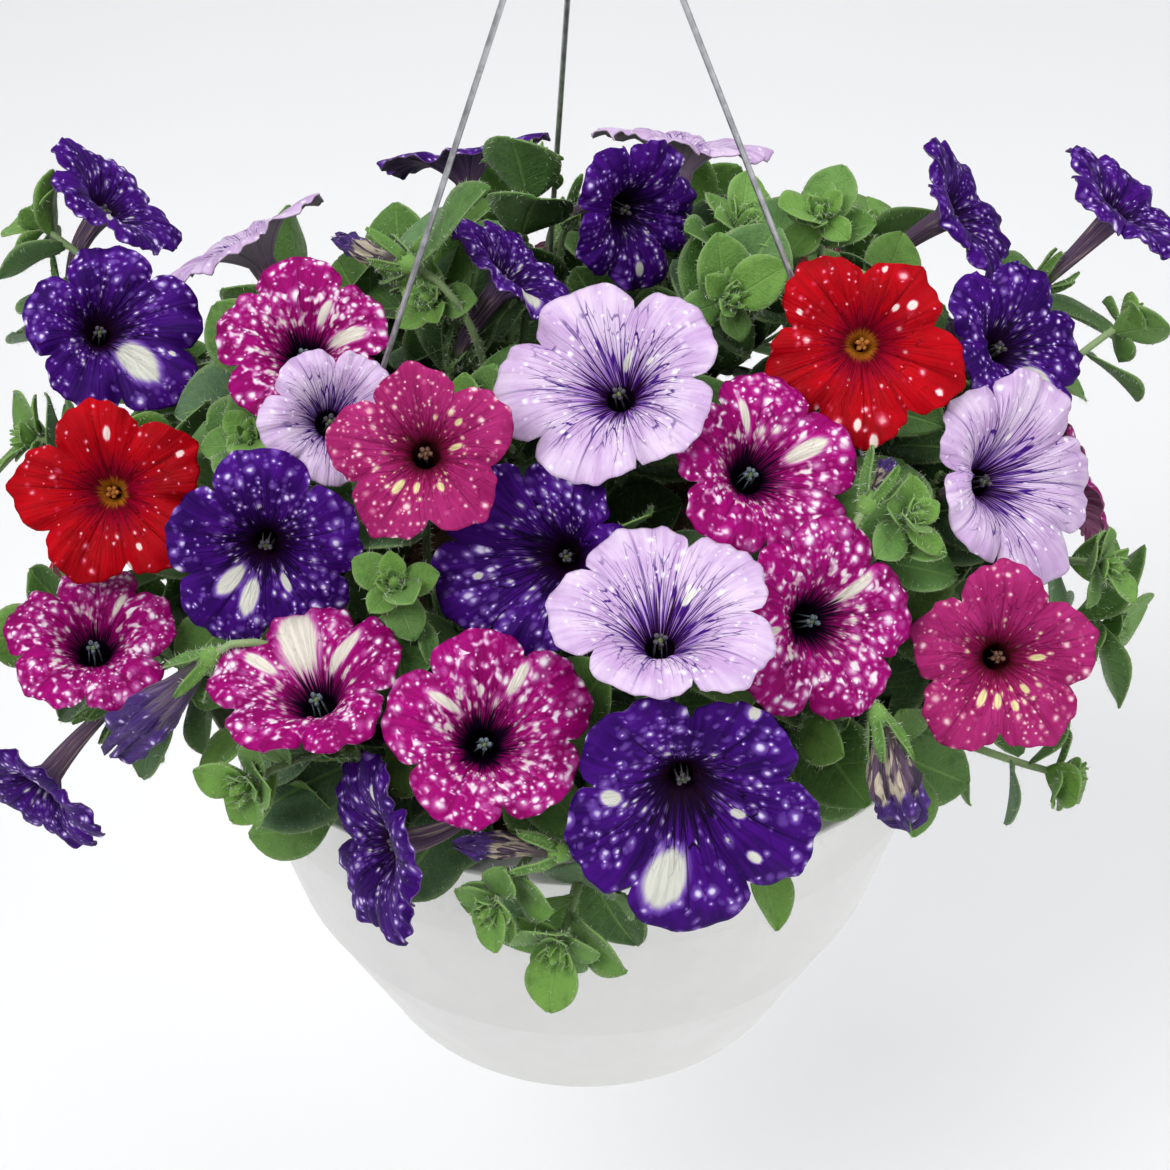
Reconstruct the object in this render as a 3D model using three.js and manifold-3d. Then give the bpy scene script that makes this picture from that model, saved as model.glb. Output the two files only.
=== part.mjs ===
// A petunia in a round hanging basket, in full bloom: a mound of leafy stems with
// speckled blooms over a plain pot on three wires and a hook.
// Millimetres, +Z up. The origin is the inside of the hook's crook, where the basket hangs.

import * as THREE from 'three';
import { mergeVertices } from 'three/addons/utils/BufferGeometryUtils.js';
import Module from 'manifold-3d';

const wasm = await Module();
wasm.setup();

// ---------------------------------------------------------------- driving sizes
const RIM_Z = -350;            // top of the pot's rim, below the hanging point
const RIM_RADIUS = 127;        // outer edge of the flange
const POT_HEIGHT = 152;
const POT_BASE_RADIUS = 74;
const WALL = 2.2;
const SOIL_DROP = 16;          // soil surface below the rim
const WIRE_RADIUS = 0.9;
const WIRE_HOLE_RADIUS = 2.1;
const WIRE_HOLE_AT = 122.3;    // from the axis
const HOOK_RADIUS = 1.7;       // the hook's wire
const CROOK_RADIUS = 13.7;     // its bend, to the middle of the wire
const PLATE_RADIUS = 10.5;
const PLATE_THICK = 2;
const PLATE_Z = -72;           // underside of the plate
const GAP = 0.3;               // between pieces that rest on each other

// the mound that the blooms stand on
const DOME_CENTRE = new THREE.Vector3(0, 0, RIM_Z + 15);
const DOME_REACH = new THREE.Vector3(168, 160, 125);

// the front is laid out as an eye sees it that looks down on the mound
const EYE_RISE = THREE.MathUtils.degToRad(40);
const EYE_REACH = 850;
const AIM = new THREE.Vector3(0, -107, RIM_Z + 95);
const MIDDLE = 585;            // the view's middle, in view units
const UNITS_PER_MM = 3.656;    // at the aim point

// cells that keep the leaves of one stem node clear of the next
const CROWN_RADIUS = 62;
const CELL_MARGIN = 1.7;
const OUTER_CELLS = 9;
const CROWN_CELLS = 3;
const FIRST_EDGE = -53;        // degrees from the front, where a hanger wire runs too

const LEAF_THICK = 0.7;
const STALK_RADIUS = 1.15;
const STEM_RADIUS = 2.3;
const STEM_HOLE_RADIUS = 3.1;
const STEM_DEPTH = 24;
const GOLDEN_TURN = 137.5;
const STALK_LEAVES = 1;        // below each calyx
const STEM_STEPS = 4;
const STALK_STEPS = 3;
const LONG_LEAF = 37.5;        // from this length on a leaf has one more row of points

const COLOURS = {
  purple: 0x3a0d8c,
  magenta: 0xb5157a,
  rose: 0xb42c66,
  red: 0xc8060c,
  lavender: 0xcdb6e0,
  wilted: 0x6a5570,
  leaf: 0x4f8145,
  pot: 0xf1f1ee,
  soil: 0x3b2a20,
  steel: 0x9a9c9e,
};

// Blooms on the front: colour, place across and down in the view, nearness to the eye
// from the mound's surface (mm), diameter (mm), the way it looks (degrees right and up
// from straight at the eye) and where its first lobe points (degrees from the right)
const FRONT_BLOOMS = [
  ['purple', 116, 329, 0, 58, 14, 18, 98],
  ['magenta', 302, 340, 0, 53, 0, 22, 95],
  ['lavender', 333, 415, 6, 41, 10, 10, 51],
  ['rose', 421, 452, 16, 53, 0, 5, 97],
  ['red', 109, 494, 10, 59, 0, 0, 103],
  ['red', 864, 349, 10, 60, 0, 0, 126],
  ['purple', 263, 553, -2, 58, 0, -20, 90],
  ['purple', 530, 556, -18, 58, -10, 0, 60],
  ['lavender', 607, 380, 2, 64, -12, 22, 108],
  ['lavender', 664, 608, 10, 62, 0, 38, 108],
  ['magenta', 767, 466, -6, 56, 15, 18, 90],
  ['magenta', 826, 621, -4, 58, 28, 0, 80],
  ['magenta', 490, 727, 4, 57, 8, 12, 100],
  ['magenta', 303, 676, 2, 55, -15, 40, 90],
  ['magenta', 90, 636, 4, 52, 0, 36, 90],
  ['purple', 691, 815, 8, 72, 5, -22, 126],
  ['purple', 370, 850, -4, 58, -66, -10, 90],
  ['purple', 30, 800, 6, 52, -50, -48, 90],
  ['purple', 1022, 340, -10, 53, 34, 15, 80],
  ['lavender', 1022, 477, 4, 63, 36, 5, 72],
  ['rose', 1003, 661, 4, 58, 0, 0, 88],
  ['purple', 118, 196, -28, 52, 62, 40, 90],
  ['purple', 640, 215, -16, 48, 42, -18, 60],
  ['purple', 520, 265, -10, 44, 55, 42, 100],
  ['purple', 970, 205, -4, 52, 62, 24, 90],
  ['purple', 1130, 200, -6, 52, 52, 40, 80],
];

// Blooms round the back: colour, turn round the axis from the front (degrees, to the
// right), rise on the mound (degrees), proud of it (mm), diameter, first lobe
const BACK_BLOOMS = [
  ['magenta', 104, 0, 0, 54, 90],
  ['purple', 130, 0, 0, 60, 90],
  ['red', 153, 10, 2, 58, 100],
  ['lavender', 164, 46, 0, 62, 80],
  ['rose', 177, 2, 2, 56, 95],
  ['purple', 198, 38, 0, 58, 90],
  ['magenta', 204, 2, 2, 57, 85],
  ['lavender', 232, 34, 0, 60, 100],
  ['red', 262, -5, 2, 58, 90],
];

// Furled blooms: colour, base across and down, tip across and down, nearness, girth
const FURLED = [
  ['wilted', 880, 724, 907, 816, -8, 17],
  ['purple', 205, 662, 122, 742, 4, 17],
  ['wilted', 548, 852, 466, 846, -1, 8.5],
  ['wilted', 402, 262, 342, 240, 4, 7.5],
  ['wilted', 872, 494, 890, 462, 2, 7],
];

// Leafy shoots on the front: tip across and down, nearness, number of leaves and the
// length of the largest
const FRONT_SHOOTS = [
  [245, 785, 6, 6, 24],
  [492, 905, 6, 4, 20],
  [558, 948, 0, 6, 30],
  [1066, 775, 2, 4, 22],
  [1106, 565, 0, 4, 22],
  [912, 520, -2, 5, 24],
  [742, 222, -6, 4, 24],
  [820, 215, -8, 4, 26],
  [430, 300, -12, 6, 38],
  [730, 300, -16, 5, 38],
  [38, 225, -34, 4, 28],
  [30, 440, -12, 4, 28],
  [250, 440, -16, 4, 32],
  [1128, 320, -4, 4, 26],
  [395, 585, -12, 4, 28],
];

// Leafy shoots round the back: turn and rise (degrees), proud of the mound, number of
// leaves, length of the largest
const BACK_SHOOTS = [
  [86, -8, 0, 4, 37],
  [117, 10, 2, 4, 37],
  [138, 30, -6, 4, 37],
  [142, -6, 0, 4, 37],
  [165, 20, -4, 4, 37],
  [190, -6, 0, 4, 37],
  [190, 18, -6, 4, 37],
  [218, 10, 0, 4, 37],
  [232, -6, 0, 4, 37],
  [277, -6, 0, 4, 37],
  [195, 68, -4, 5, 37],
];

// ---------------------------------------------------------------- small helpers
const material = (colour, roughness = 0.7, metalness = 0) => (
  new THREE.MeshStandardMaterial({ color: colour, roughness, metalness })
);

function toSolid(geometry) {
  const bare = geometry.index ? geometry.clone() : geometry;
  bare.deleteAttribute('normal');
  bare.deleteAttribute('uv');
  const merged = mergeVertices(bare, 1e-4);
  return new wasm.Manifold(new wasm.Mesh({
    numProp: 3,
    vertProperties: new Float32Array(merged.attributes.position.array),
    triVerts: new Uint32Array(merged.index.array),
  }));
}

function toGeometry(solid) {
  const mesh = solid.getMesh();
  const geometry = new THREE.BufferGeometry();
  geometry.setAttribute('position', new THREE.BufferAttribute(mesh.vertProperties, 3));
  geometry.setIndex(new THREE.BufferAttribute(mesh.triVerts, 1));
  geometry.computeVertexNormals();
  return geometry;
}

function fuse(geometries) {
  return geometries.map(toSolid).reduce((whole, piece) => whole.add(piece));
}

function fromFaces(points, faces) {
  const geometry = new THREE.BufferGeometry();
  geometry.setAttribute(
    'position',
    new THREE.Float32BufferAttribute(points.flatMap((point) => point.toArray()), 3),
  );
  geometry.setIndex(faces.flat());
  return geometry;
}

// A polygon of the given number of sides, for tubes drawn along a path
function polygon(radius, sides) {
  const shape = new THREE.Shape();
  for (let i = 0; i < sides; i += 1) {
    const angle = (2 * Math.PI * i) / sides;
    const point = [radius * Math.cos(angle), radius * Math.sin(angle)];
    if (i === 0) shape.moveTo(...point);
    else shape.lineTo(...point);
  }
  shape.closePath();
  return shape;
}

const tube = (path, radius, sides, steps) => (
  new THREE.ExtrudeGeometry(polygon(radius, sides), { extrudePath: path, steps })
);

// Closed skin over rings of points; a ring may have as many points as the one before
// it, twice as many, or half
function stitchRings(rings) {
  const points = rings.flat();
  const faces = [];
  let start = 0;
  for (let r = 0; r + 1 < rings.length; r += 1) {
    const n = rings[r].length;
    const m = rings[r + 1].length;
    const next = start + n;
    const low = (i) => start + (i % n);
    const high = (i) => next + (i % m);
    for (let i = 0; i < Math.min(n, m); i += 1) {
      if (m === n) {
        faces.push([low(i), low(i + 1), high(i + 1)], [low(i), high(i + 1), high(i)]);
      } else if (m > n) {
        faces.push([low(i), high(2 * i + 1), high(2 * i)]);
        faces.push([low(i), low(i + 1), high(2 * i + 1)]);
        faces.push([low(i + 1), high(2 * i + 2), high(2 * i + 1)]);
      } else {
        faces.push([low(2 * i), low(2 * i + 1), high(i)]);
        faces.push([low(2 * i + 1), high(i + 1), high(i)]);
        faces.push([low(2 * i + 1), low(2 * i + 2), high(i + 1)]);
      }
    }
    start = next;
  }
  const first = rings[0].length;
  for (let i = 1; i + 1 < first; i += 1) faces.push([0, i + 1, i]);
  const last = rings.at(-1).length;
  for (let i = 1; i + 1 < last; i += 1) faces.push([start, start + i, start + i + 1]);
  return fromFaces(points, faces);
}

// ---------------------------------------------------------------- where things stand
const EYE_FORWARD = new THREE.Vector3(0, Math.cos(EYE_RISE), -Math.sin(EYE_RISE));
const EYE_UP = new THREE.Vector3(0, Math.sin(EYE_RISE), Math.cos(EYE_RISE));
const EYE_RIGHT = new THREE.Vector3(1, 0, 0);

// The point of the mound that is seen at a place in the view; where the sight line
// misses the mound, its nearest point to it
function seenAt(across, down, nearness) {
  const eye = AIM.clone().addScaledVector(EYE_FORWARD, -EYE_REACH);
  const sight = EYE_FORWARD.clone()
    .addScaledVector(EYE_RIGHT, (across - MIDDLE) / UNITS_PER_MM / EYE_REACH)
    .addScaledVector(EYE_UP, (MIDDLE - down) / UNITS_PER_MM / EYE_REACH);
  const from = eye.clone().sub(DOME_CENTRE).divide(DOME_REACH);
  const along = sight.clone().divide(DOME_REACH);
  const a = along.dot(along);
  const b = from.dot(along);
  const root = Math.sqrt(Math.max(0, b * b - a * (from.dot(from) - 1)));
  return eye.addScaledVector(sight, (-b - root) / a - nearness);
}

// A point of the mound by its turn round the axis and its rise, and its outward way
function onDome(turn, rise, proud) {
  const t = THREE.MathUtils.degToRad(turn);
  const r = THREE.MathUtils.degToRad(rise);
  const unit = new THREE.Vector3(
    Math.cos(r) * Math.sin(t),
    -Math.cos(r) * Math.cos(t),
    Math.sin(r),
  );
  const outward = unit.clone().divide(DOME_REACH).normalize();
  const place = unit.multiply(DOME_REACH).add(DOME_CENTRE).addScaledVector(outward, proud);
  return { place, outward };
}

const turnOf = (point) => THREE.MathUtils.radToDeg(Math.atan2(point.x, -point.y));

// The cell of a point: the crown's cells come first, then the outer ones
function cellOf(point) {
  const turn = (turnOf(point) - FIRST_EDGE + 360) % 360;
  if (Math.hypot(point.x, point.y) < CROWN_RADIUS) {
    return Math.floor(turn / (360 / CROWN_CELLS));
  }
  return CROWN_CELLS + Math.floor(turn / (360 / OUTER_CELLS));
}

// True where a point lies in a cell, with the margin to its neighbours
function insideCell(cell, point) {
  const crown = cell < CROWN_CELLS;
  const width = 360 / (crown ? CROWN_CELLS : OUTER_CELLS);
  const index = crown ? cell : cell - CROWN_CELLS;
  const middle = THREE.MathUtils.degToRad(FIRST_EDGE + width * (index + 0.5));
  const half = THREE.MathUtils.degToRad(width / 2);
  const ahead = point.x * Math.sin(middle) - point.y * Math.cos(middle);
  const aside = Math.abs(point.x * Math.cos(middle) + point.y * Math.sin(middle));
  if (ahead * Math.sin(half) - aside * Math.cos(half) < CELL_MARGIN) return false;
  const radius = Math.hypot(point.x, point.y);
  return crown ? radius < CROWN_RADIUS - CELL_MARGIN : radius > CROWN_RADIUS + CELL_MARGIN;
}

// Where each cell's stem stands in the soil, and where its flower stalks part
function stemOf(cell) {
  const crown = cell < CROWN_CELLS;
  const width = 360 / (crown ? CROWN_CELLS : OUTER_CELLS);
  const index = crown ? cell : cell - CROWN_CELLS;
  const middle = THREE.MathUtils.degToRad(FIRST_EDGE + width * (index + 0.5));
  const outward = new THREE.Vector3(Math.sin(middle), -Math.cos(middle), 0);
  const root = outward.clone().multiplyScalar(crown ? 22 : 84).setZ(RIM_Z - SOIL_DROP);
  const hub = outward.clone().multiplyScalar(crown ? 30 : 96).setZ(RIM_Z + (crown ? 50 : 20));
  return { root, hub, outward };
}

// ---------------------------------------------------------------- blooms
const THROAT_DEPTH = 10;       // from the lobes' plane to the mouth of the tube
const TUBE_BEND = 24;          // where the tube turns towards its stalk
const TUBE_END = 14;           // from the bend to the calyx
const PETAL = 0.8;

// Everything that a bloom's shape and its stalk are worked out from
function bloomFrame(place, facing, right, diameter, roll) {
  const bend = place.clone().addScaledVector(facing, -TUBE_BEND);
  const { hub } = stemOf(cellOf(bend));
  const inward = hub.clone().sub(bend).normalize();
  const back = facing.clone().negate().addScaledVector(inward, 0.8).normalize();
  const base = bend.clone().addScaledVector(back, TUBE_END);
  const u = right.clone().addScaledVector(facing, -right.dot(facing)).normalize();
  const v = facing.clone().cross(u);
  return {
    place, facing, back, bend, base, u, v, radius: diameter / 2, roll, cell: cellOf(base),
  };
}

function frontBloom([colour, across, down, nearness, diameter, yaw, pitch, roll]) {
  const y = THREE.MathUtils.degToRad(yaw);
  const p = THREE.MathUtils.degToRad(pitch);
  const facing = EYE_FORWARD.clone().multiplyScalar(-Math.cos(y) * Math.cos(p))
    .addScaledVector(EYE_RIGHT, Math.sin(y) * Math.cos(p))
    .addScaledVector(EYE_UP, Math.sin(p));
  const place = seenAt(across, down, nearness);
  return { colour, ...bloomFrame(place, facing, EYE_RIGHT, diameter, roll) };
}

function backBloom([colour, turn, rise, proud, diameter, roll]) {
  const { place, outward } = onDome(turn, rise, proud);
  const facing = outward.clone().add(new THREE.Vector3(0, 0, 0.25)).normalize();
  const t = THREE.MathUtils.degToRad(turn);
  const right = new THREE.Vector3(Math.cos(t), Math.sin(t), 0);
  return { colour, ...bloomFrame(place, facing, right, diameter, roll) };
}

// The trumpet: out along the back of the tube and lobes, round the lobes' edge and
// back down inside, one ring of points after another
function bloomGeometry(bloom) {
  const { place, facing, bend, base, back, u, v, radius, roll } = bloom;
  const pointed = bloom.colour === 'red' || bloom.colour === 'rose';
  const start = THREE.MathUtils.degToRad(roll);
  const tip = pointed ? 1.04 : 1;
  const shoulder = pointed ? 0.9 : 0.96;
  const reach = [tip, shoulder, 0.77, shoulder];
  const lift = [-1.2, 1, 0.4, 1];

  const ring = (count, centre, along, shape) => {
    const a = u.clone().addScaledVector(along, -u.dot(along)).normalize();
    const b = along.clone().cross(a);
    return Array.from({ length: count }, (_, i) => {
      const angle = start + (2 * Math.PI * i) / count;
      const [r, z] = shape(i);
      return centre.clone()
        .addScaledVector(a, r * Math.cos(angle))
        .addScaledVector(b, r * Math.sin(angle))
        .addScaledVector(along, z);
    });
  };
  const flat = (count, r, z) => ring(count, place, facing, () => [r, z]);
  const edge = (z) => ring(20, place, facing, (i) => (
    [radius * reach[i % 4], z + lift[i % 4] + (((i * 7) % 5) - 2) * 0.35]
  ));
  const middle = (z) => ring(10, place, facing, (i) => (
    [radius * 0.52, z + (i % 2 ? -0.5 : 0.3)]
  ));
  const tail = back.clone().negate();
  const knee = facing.clone().add(tail).normalize();
  return stitchRings([
    ring(5, base, tail, () => [1.9, 0]),
    ring(5, bend, knee, () => [3.2, 0]),
    flat(5, 6.2, -THROAT_DEPTH),
    middle(-3 - PETAL),
    edge(-PETAL),
    edge(0),
    middle(-3),
    flat(5, 5, -THROAT_DEPTH),
  ]);
}

// ---------------------------------------------------------------- furled blooms
function furledBloom([colour, x0, y0, x1, y1, nearness, girth]) {
  const base = seenAt(x0, y0, nearness);
  const end = seenAt(x1, y1, nearness + 4);
  const facing = end.clone().sub(base);
  const length = facing.length();
  facing.normalize();
  const side = new THREE.Vector3(0, 0, 1).cross(facing).normalize();
  return {
    colour,
    base,
    facing,
    back: facing.clone().negate(),
    length,
    girth,
    u: side,
    v: facing.clone().cross(side),
    cell: cellOf(base),
  };
}

function furledGeometry({ base, facing, u, v, length, girth }) {
  const widths = [[0.3, 0.28], [0.62, 0.5], [0.86, 0.42], [1, 0.16]];
  const rows = [[0, 2], ...widths.map(([along, share]) => [along, share * girth])];
  return stitchRings(rows.map(([along, width], row) => Array.from({ length: 8 }, (_, i) => {
    const angle = (Math.PI * i) / 4 + along * 0.9;
    const fold = i % 2 && row > 0 ? 0.62 : 1;
    const uneven = row === rows.length - 1 ? ((i * 3) % 5) * 0.05 * length : 0;
    return base.clone()
      .addScaledVector(facing, along * length + uneven)
      .addScaledVector(u, width * fold * Math.cos(angle))
      .addScaledVector(v, width * fold * Math.sin(angle));
  })));
}

// ---------------------------------------------------------------- calyx and stalk
const CALYX_FLOOR = 5;         // from the calyx's underside to the seat of the bloom
const SEPAL = 8.5;

function calyxGeometry({ base, back, u }) {
  const along = back.clone().negate();
  const a = u.clone().addScaledVector(along, -u.dot(along)).normalize();
  const b = along.clone().cross(a);
  const seat = base.clone().addScaledVector(back, GAP);
  const spot = (r, angle, z) => seat.clone()
    .addScaledVector(a, r * Math.cos(angle))
    .addScaledVector(b, r * Math.sin(angle))
    .addScaledVector(along, z);
  const points = [];
  const faces = [];
  const middleOfFloor = 20;
  const tipOfFoot = 21;
  for (let i = 0; i < 5; i += 1) {
    const angle = (2 * Math.PI * i) / 5;
    const half = Math.PI / 5;
    points.push(
      spot(3, angle - half, 0),
      spot(4.3, angle, 0.5),
      spot(3, angle, 0),
      spot(6.6, angle, SEPAL),
    );
    const [gap, outside, inside, top] = [0, 1, 2, 3].map((k) => 4 * i + k);
    const nextGap = 4 * ((i + 1) % 5);
    faces.push(
      [tipOfFoot, outside, gap],
      [tipOfFoot, nextGap, outside],
      [gap, outside, top],
      [outside, nextGap, top],
      [gap, top, inside],
      [inside, top, nextGap],
      [middleOfFloor, gap, inside],
      [middleOfFloor, inside, nextGap],
    );
  }
  points.push(seat, spot(0, 0, -CALYX_FLOOR - 1.5));
  return fromFaces(points, faces);
}

// A stem's lower part: straight out of its hole, then to where its stalks part
function stemPath(cell) {
  const { root, hub } = stemOf(cell);
  const foot = root.clone().setZ(root.z - STEM_DEPTH);
  return new THREE.CatmullRomCurve3([
    foot,
    root,
    root.clone().lerp(hub, 0.35).setX(root.x).setY(root.y),
    hub,
  ]);
}

// A stalk leaves the stem lower or higher by its share, and ends against its calyx
function stalkPath(cell, share, end, back) {
  const spine = stemPath(cell).getSpacedPoints(STEM_STEPS);
  const start = spine[STEM_STEPS - 2].clone().lerp(spine[STEM_STEPS], share);
  const reach = start.distanceTo(end) * 0.3;
  const way = end.clone().sub(start).normalize().add(new THREE.Vector3(0, 0, 0.2)).normalize();
  return new THREE.CubicBezierCurve3(
    start,
    start.clone().addScaledVector(way, reach),
    end.clone().addScaledVector(back, reach),
    end,
  );
}

// ---------------------------------------------------------------- leaves
// A leaf by its foot, the way it grows, the way its face looks, its length and width
function leafPoints({ foot, along, face, length, width }, thick) {
  const across = along.clone().cross(face).normalize();
  const spot = (s, side) => {
    const droop = -0.16 * length * s * s + 0.1 * length * s;
    return foot.clone()
      .addScaledVector(along, length * s)
      .addScaledVector(across, side * width * 0.5)
      .addScaledVector(face, droop + Math.abs(side) * width * 0.1 + thick);
  };
  const rows = length > LONG_LEAF
    ? [[0.26, 0.62], [0.52, 1], [0.78, 0.68]]
    : [[0.34, 0.8], [0.68, 0.92]];
  return [
    spot(0, 0),
    ...rows.flatMap(([s, w]) => [spot(s, -w), spot(s, 0), spot(s, w)]),
    spot(1, 0),
  ];
}

function leafGeometry(leaf) {
  const top = leafPoints(leaf, LEAF_THICK);
  const under = leafPoints(leaf, 0);
  const n = top.length;
  const rows = (n - 2) / 3;
  const sheet = [[0, 2, 1], [0, 3, 2]];
  for (let r = 0; r + 1 < rows; r += 1) {
    const k = 3 * r + 1;
    sheet.push([k, k + 1, k + 4], [k, k + 4, k + 3]);
    sheet.push([k + 1, k + 2, k + 4], [k + 2, k + 5, k + 4]);
  }
  const k = 3 * (rows - 1) + 1;
  sheet.push([k, k + 1, n - 1], [k + 1, k + 2, n - 1]);
  const left = Array.from({ length: rows }, (_, r) => 3 * r + 1);
  const right = Array.from({ length: rows }, (_, r) => 3 * r + 3);
  const rim = [0, ...right, n - 1, ...left.reverse()];
  const faces = sheet.map(([a, b, c]) => [a, b, c]);
  sheet.forEach(([a, b, c]) => faces.push([a + n, c + n, b + n]));
  rim.forEach((a, i) => {
    const b = rim[(i + 1) % rim.length];
    faces.push([a, a + n, b + n], [a, b + n, b]);
  });
  return fromFaces([...top, ...under], faces);
}

// ---------------------------------------------------------------- clear of the blooms
function nearSegment(point, from, to) {
  const run = to.clone().sub(from);
  const s = THREE.MathUtils.clamp(point.clone().sub(from).dot(run) / run.lengthSq(), 0, 1);
  return point.distanceTo(from.clone().addScaledVector(run, s));
}

// True where a point is in a bloom, in front of its lobes, or at its tube and calyx
function touchesBloom(point, bloom) {
  const { place, facing, bend, base, back, radius } = bloom;
  const rel = point.clone().sub(place);
  const z = rel.dot(facing);
  const r = Math.sqrt(Math.max(0, rel.lengthSq() - z * z));
  if (r < radius * 1.04 + 2 && z < 13) {
    const middle = radius * 0.52;
    const behind = r < middle
      ? THREE.MathUtils.lerp(-THROAT_DEPTH, -4, Math.max(0, r - 6) / (middle - 6))
      : THREE.MathUtils.lerp(-4, -3, (r - middle) / (radius - middle));
    if (z > behind - 2.5) return true;
  }
  if (nearSegment(point, place.clone().addScaledVector(facing, -8), bend) < 8.5) return true;
  return nearSegment(point, bend, base.clone().addScaledVector(back, 8)) < 6.5
    || nearSegment(point, base, base.clone().addScaledVector(back, -8)) < 8.8;
}

const touchesFurled = (point, bud) => (
  nearSegment(point, bud.base, bud.base.clone().addScaledVector(bud.facing, bud.length * 1.2))
    < Math.max(8.8, bud.girth * 0.5 + 2.5)
);

// True where a point is clear of the soil, the pot's wall and its flange
function clearOfPot(point) {
  const radius = Math.hypot(point.x, point.y);
  if (radius < 113) return point.z > RIM_Z - SOIL_DROP + 2;
  if (radius < RIM_RADIUS + 3) return point.z > RIM_Z + 3.5;
  return true;
}

// A leaf is tried at a few turns and sizes and is left out where none is clear
const TRIES = [
  [0, 1], [22, 1], [-22, 1], [45, 0.9], [-45, 0.9], [0, 0.75], [70, 0.8], [-70, 0.8],
];

function growLeaf(cell, blooms, buds, { path, at, turn, pitch, length, slim }) {
  const spine = path.getSpacedPoints(STALK_STEPS);
  const step = Math.min(Math.floor(at * STALK_STEPS), STALK_STEPS - 1);
  const foot = spine[step].clone().lerp(spine[step + 1], at * STALK_STEPS - step);
  const along = spine[step + 1].clone().sub(spine[step]).normalize();
  const level = Math.abs(along.z) < 0.9 ? new THREE.Vector3(0, 0, 1) : new THREE.Vector3(0, 1, 0);
  const u = level.clone().cross(along).normalize();
  const v = along.clone().cross(u);
  for (const [twist, size] of TRIES) {
    const angle = THREE.MathUtils.degToRad(turn + twist);
    const lean = THREE.MathUtils.degToRad(pitch);
    const out = u.clone().multiplyScalar(Math.cos(angle)).addScaledVector(v, Math.sin(angle));
    const way = along.clone().multiplyScalar(Math.cos(lean)).addScaledVector(out, Math.sin(lean));
    const face = along.clone().multiplyScalar(Math.sin(lean)).addScaledVector(out, -Math.cos(lean));
    const leaf = { foot, along: way, face, length: length * size, width: length * size * slim };
    const points = [...leafPoints(leaf, LEAF_THICK), ...leafPoints(leaf, 0)];
    const clear = points.every((point) => (
      point.distanceTo(foot) < 4
      || (insideCell(cell, point)
        && clearOfPot(point)
        && !blooms.some((bloom) => touchesBloom(point, bloom))
        && !buds.some((bud) => touchesFurled(point, bud)))
    ));
    if (clear) return leaf;
  }
  return null;
}

// ---------------------------------------------------------------- the plant
const blooms = [...FRONT_BLOOMS.map(frontBloom), ...BACK_BLOOMS.map(backBloom)];
const buds = FURLED.map(furledBloom);

const ends = [
  ...[...blooms, ...buds].map((flower) => ({
    cell: flower.cell,
    flower,
    end: flower.base.clone().addScaledVector(flower.back, CALYX_FLOOR - 1),
    back: flower.back,
  })),
  ...[
    ...FRONT_SHOOTS.map(([across, down, nearness, count, length]) => ({
      end: seenAt(across, down, nearness), count, length,
    })),
    ...BACK_SHOOTS.map(([turn, rise, proud, count, length]) => ({
      end: onDome(turn, rise, proud).place, count, length,
    })),
  ].map((shoot) => {
    const cell = cellOf(shoot.end);
    const back = stemOf(cell).hub.clone().sub(shoot.end).normalize();
    return { ...shoot, cell, back: back.setZ(back.z * 0.4).normalize() };
  }),
];

// Every stalk of a node, spread over the upper part of its stem
const stalksOf = (cell) => ends.filter((stalk) => stalk.cell === cell)
  .map((stalk, i, all) => ({
    ...stalk,
    path: stalkPath(cell, (i + 0.5) / all.length, stalk.end, stalk.back),
  }));

// The leaves of a stalk: some below a calyx, or a tuft at the end of a shoot
function leavesOf(cell, { path, flower, count, length }, order) {
  const reach = path.getLength();
  const leaves = [];
  const number = flower ? STALK_LEAVES : count;
  for (let i = 0; i < number; i += 1) {
    const young = i / number;
    const plan = flower
      ? {
        at: Math.max(0.3, 1 - (5 + 9 * i) / reach),
        turn: GOLDEN_TURN * (3 * order + i) + 20 * cell,
        pitch: 62 + 8 * i,
        length: 38,
        slim: 0.58,
      }
      : {
        at: Math.max(0.25, 1 - (1 + 5.5 * (count - 1 - i)) / reach),
        turn: GOLDEN_TURN * i + 50 * order,
        pitch: 72 - 34 * young,
        length: length * (1 - 0.42 * young),
        slim: 0.62,
      };
    const leaf = growLeaf(cell, blooms, buds, { path, ...plan });
    if (leaf) leaves.push(leaf);
  }
  return leaves;
}

function leafyStems(cell) {
  const pieces = [tube(stemPath(cell), STEM_RADIUS, 5, STEM_STEPS)];
  stalksOf(cell).forEach((stalk, order) => {
    pieces.push(tube(stalk.path, STALK_RADIUS, 3, STALK_STEPS));
    if (stalk.flower) pieces.push(calyxGeometry(stalk.flower));
    leavesOf(cell, stalk, order).forEach((leaf) => pieces.push(leafGeometry(leaf)));
  });
  return toGeometry(fuse(pieces));
}

// ---------------------------------------------------------------- pot and soil
function turned(profile, sides) {
  return new THREE.LatheGeometry(profile.map(([r, z]) => new THREE.Vector2(r, z)), sides)
    .rotateX(Math.PI / 2);
}

const peg = (radius, x, y, low, high, sides = 6) => (
  new THREE.CylinderGeometry(radius, radius, high - low, sides)
    .rotateX(Math.PI / 2)
    .translate(x, y, (low + high) / 2)
);

const wireTurns = [0, 1, 2].map((i) => THREE.MathUtils.degToRad(FIRST_EDGE + 120 * i));
const outwardAt = (angle) => new THREE.Vector3(Math.sin(angle), -Math.cos(angle), 0);

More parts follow.
